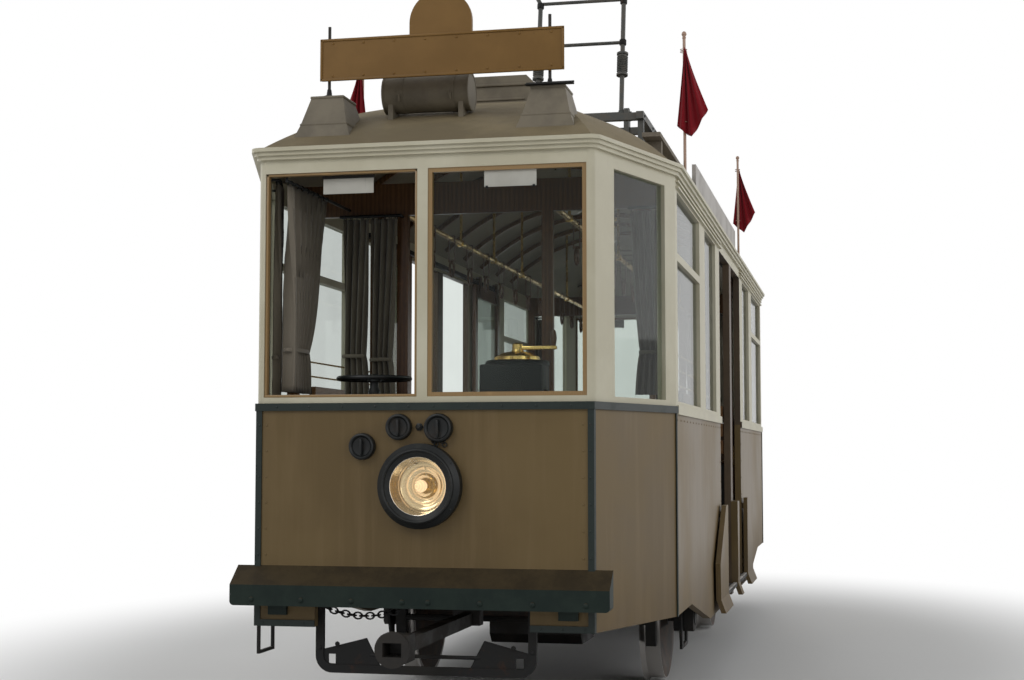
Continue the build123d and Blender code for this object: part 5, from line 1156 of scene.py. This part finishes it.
# Flags: plain red cotton, hemmed and hanging in folds, on pale painted sticks at the four corners of the
# side boards.
def red_cotton():
    finish = Finish("red_cotton")
    tone = finish.cloud(5, 4, 0.6)
    colour = finish.colours(tone, (0.165, 0.004, 0.009), (0.235, 0.008, 0.014))
    return finish.done(base_color=colour, roughness=0.85, sheen_weight=0.1, specular_ior_level=0.15,
                       normal=finish.grain(500, 2, 0.5, 0.0006, 0.4))


RED = red_cotton()
paint(RED, "flags")
FLAG_Y, WAVES = -2.061, 3.25
# Corners of the hanging cloth, across and up: its top at the stick, then along the hem from the stick
# outwards
FLAG_TOP = (0.987, 3.742)
FLAG_HEM = ((0.942, 3.278), (0.985, 3.236), (1.030, 3.206), (1.082, 3.290), (1.124, 3.366))
ACROSS, DOWN = 33, 24
rows = []
for step in range(DOWN + 1):
    fall = step / DOWN
    line = []
    for k in range(ACROSS):
        t = k / (ACROSS - 1)
        place = t * (len(FLAG_HEM) - 1)
        part = min(int(place), len(FLAG_HEM) - 2)
        share = place - part
        low = [a + (b - a) * share for a, b in zip(FLAG_HEM[part], FLAG_HEM[part + 1])]
        swing = (0.006 + 0.013 * math.sqrt(fall)) * math.sin(2 * math.pi * WAVES * t + 0.8 * fall)
        x = FLAG_TOP[0] + 0.012 * t + (low[0] - FLAG_TOP[0] - 0.012 * t) * fall ** 1.15
        z = FLAG_TOP[1] - 0.020 * t + (low[1] - FLAG_TOP[1] + 0.020 * t) * fall
        line.append((x, FLAG_Y + swing, z))
    rows.append(line)
for side, sx in (("right", 1), ("left", -1)):
    for end, sy in (("front", 1), ("rear", -1)):
        flag = cloth(f"flag_{side}_{end}", [[(sx * x, sy * y, z) for x, y, z in line] for line in rows], RED)
        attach(flag, "car")
        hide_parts("flags")


def stick_paint():
    finish = Finish("stick_paint")
    tone = finish.cloud(14, 5, 0.6)
    return finish.done(base_color=finish.colours(tone, (0.34, 0.21, 0.15), (0.48, 0.33, 0.25)), roughness=0.6)


STICK = stick_paint()
paint(STICK, "flag_sticks")

# Finials, sockets and lashings of the sticks: a turned knob on the tip, a cup at the foot, and three turns
# of cord round the cloth's edge.
STICK_X, STICK_Y = 0.985, -2.030
knob = turned([(0, -0.004), (0.010, -0.004), (0.012, 0.002), (0.008, 0.008), (0.015, 0.020), (0.013, 0.032),
               (0.006, 0.039), (0, 0.040)], (STICK_X, STICK_Y, 3.802))
socket = turned([(0, 0), (0.030, 0), (0.030, 0.005), (0.016, 0.008), (0.014, 0.040), (0, 0.040)],
                (STICK_X, STICK_Y, 2.898))
finished(mirrored(joined([knob, socket]), ends=True), "stick_knobs", STICK)
lashes = [hoop((STICK_X - 0.002, STICK_Y - 0.012, z), 0.019, 0.0022) for z in (3.716, 3.730, 3.300)]
finished(mirrored(joined(lashes), ends=True), "flag_lashings", STICK)


# Studio: a pale floor under the wheels that runs out into a white background, and large soft lamps in
# front, at the sides and behind.
def looked_at(finish):
    """1 for rays from the camera, from a mirror or through glass, 0 for scattered light."""
    camera, glossy, through = [finish.node("ShaderNodeLightPath", out=f"Is {kind} Ray")
                               for kind in ("Camera", "Glossy", "Transmission")]
    return finish.maths("MAXIMUM", finish.maths("MAXIMUM", camera, glossy), through)


WHITE_FROM, WHITE_TO = 3.2, 6.5


def pale_floor():
    finish = Finish("pale_floor")
    colour = finish.colours(finish.cloud(0.4, 3, 0.5), (0.62, 0.62, 0.61), (0.66, 0.66, 0.65))
    distance = (1.6 * finish.axis("X") ** 2 + (0.80 * finish.axis("Y")) ** 2) ** 0.5
    away = finish.step(distance, WHITE_FROM, WHITE_TO)
    floor = finish.skin(base_color=colour, roughness=0.65)
    white = finish.node("ShaderNodeEmission", values={"Color": (1, 1, 1, 1), "Strength": 1.0})
    mixed = finish.node("ShaderNodeMixShader", values={0: away * looked_at(finish), 1: floor, 2: white})
    return finish.closed(mixed)


bpy.ops.mesh.primitive_plane_add(size=160, location=(0, 0, 0))
ground = bpy.context.object
ground.name = "studio_floor"
ground.data.materials.append(pale_floor())

sky = Finish("studio", bpy.data.worlds)
bpy.context.scene.world = sky.block
soft = sky.node("ShaderNodeBackground", values={"Color": (0.95, 0.97, 1.0, 1), "Strength": 0.30})
white = sky.node("ShaderNodeBackground", values={"Color": (1, 1, 1, 1), "Strength": 1.0})
choose = sky.node("ShaderNodeMixShader", values={0: looked_at(sky), 1: soft, 2: white})
sky.node("ShaderNodeOutputWorld", values={"Surface": choose})

# Name, place, what it points at, size, power
LAMPS = (
    ("key", (-5.0, -11.0, 8.5), (0, -3.5, 1.6), 6.0, 400),
    ("fill", (8.5, -8.5, 5.0), (0, -2.5, 1.4), 7.0, 260),
    ("back", (-3.0, 11.0, 8.0), (0, 3.0, 1.6), 7.0, 280),
    ("side", (9.0, 4.0, 6.0), (0, 1.5, 1.5), 7.0, 220),
    ("far_side", (-9.5, 1.0, 6.0), (0, 0.5, 1.5), 7.0, 220),
)
for name, spot, target, size, power in LAMPS:
    bpy.ops.object.light_add(type="AREA", location=spot)
    lamp = bpy.context.object
    lamp.name = name
    lamp.data.size = size
    lamp.data.energy = power
    aim = Vector(target) - Vector(spot)
    lamp.rotation_euler = aim.to_track_quat("-Z", "Y").to_euler()

bpy.context.scene.view_settings.view_transform = "Standard"
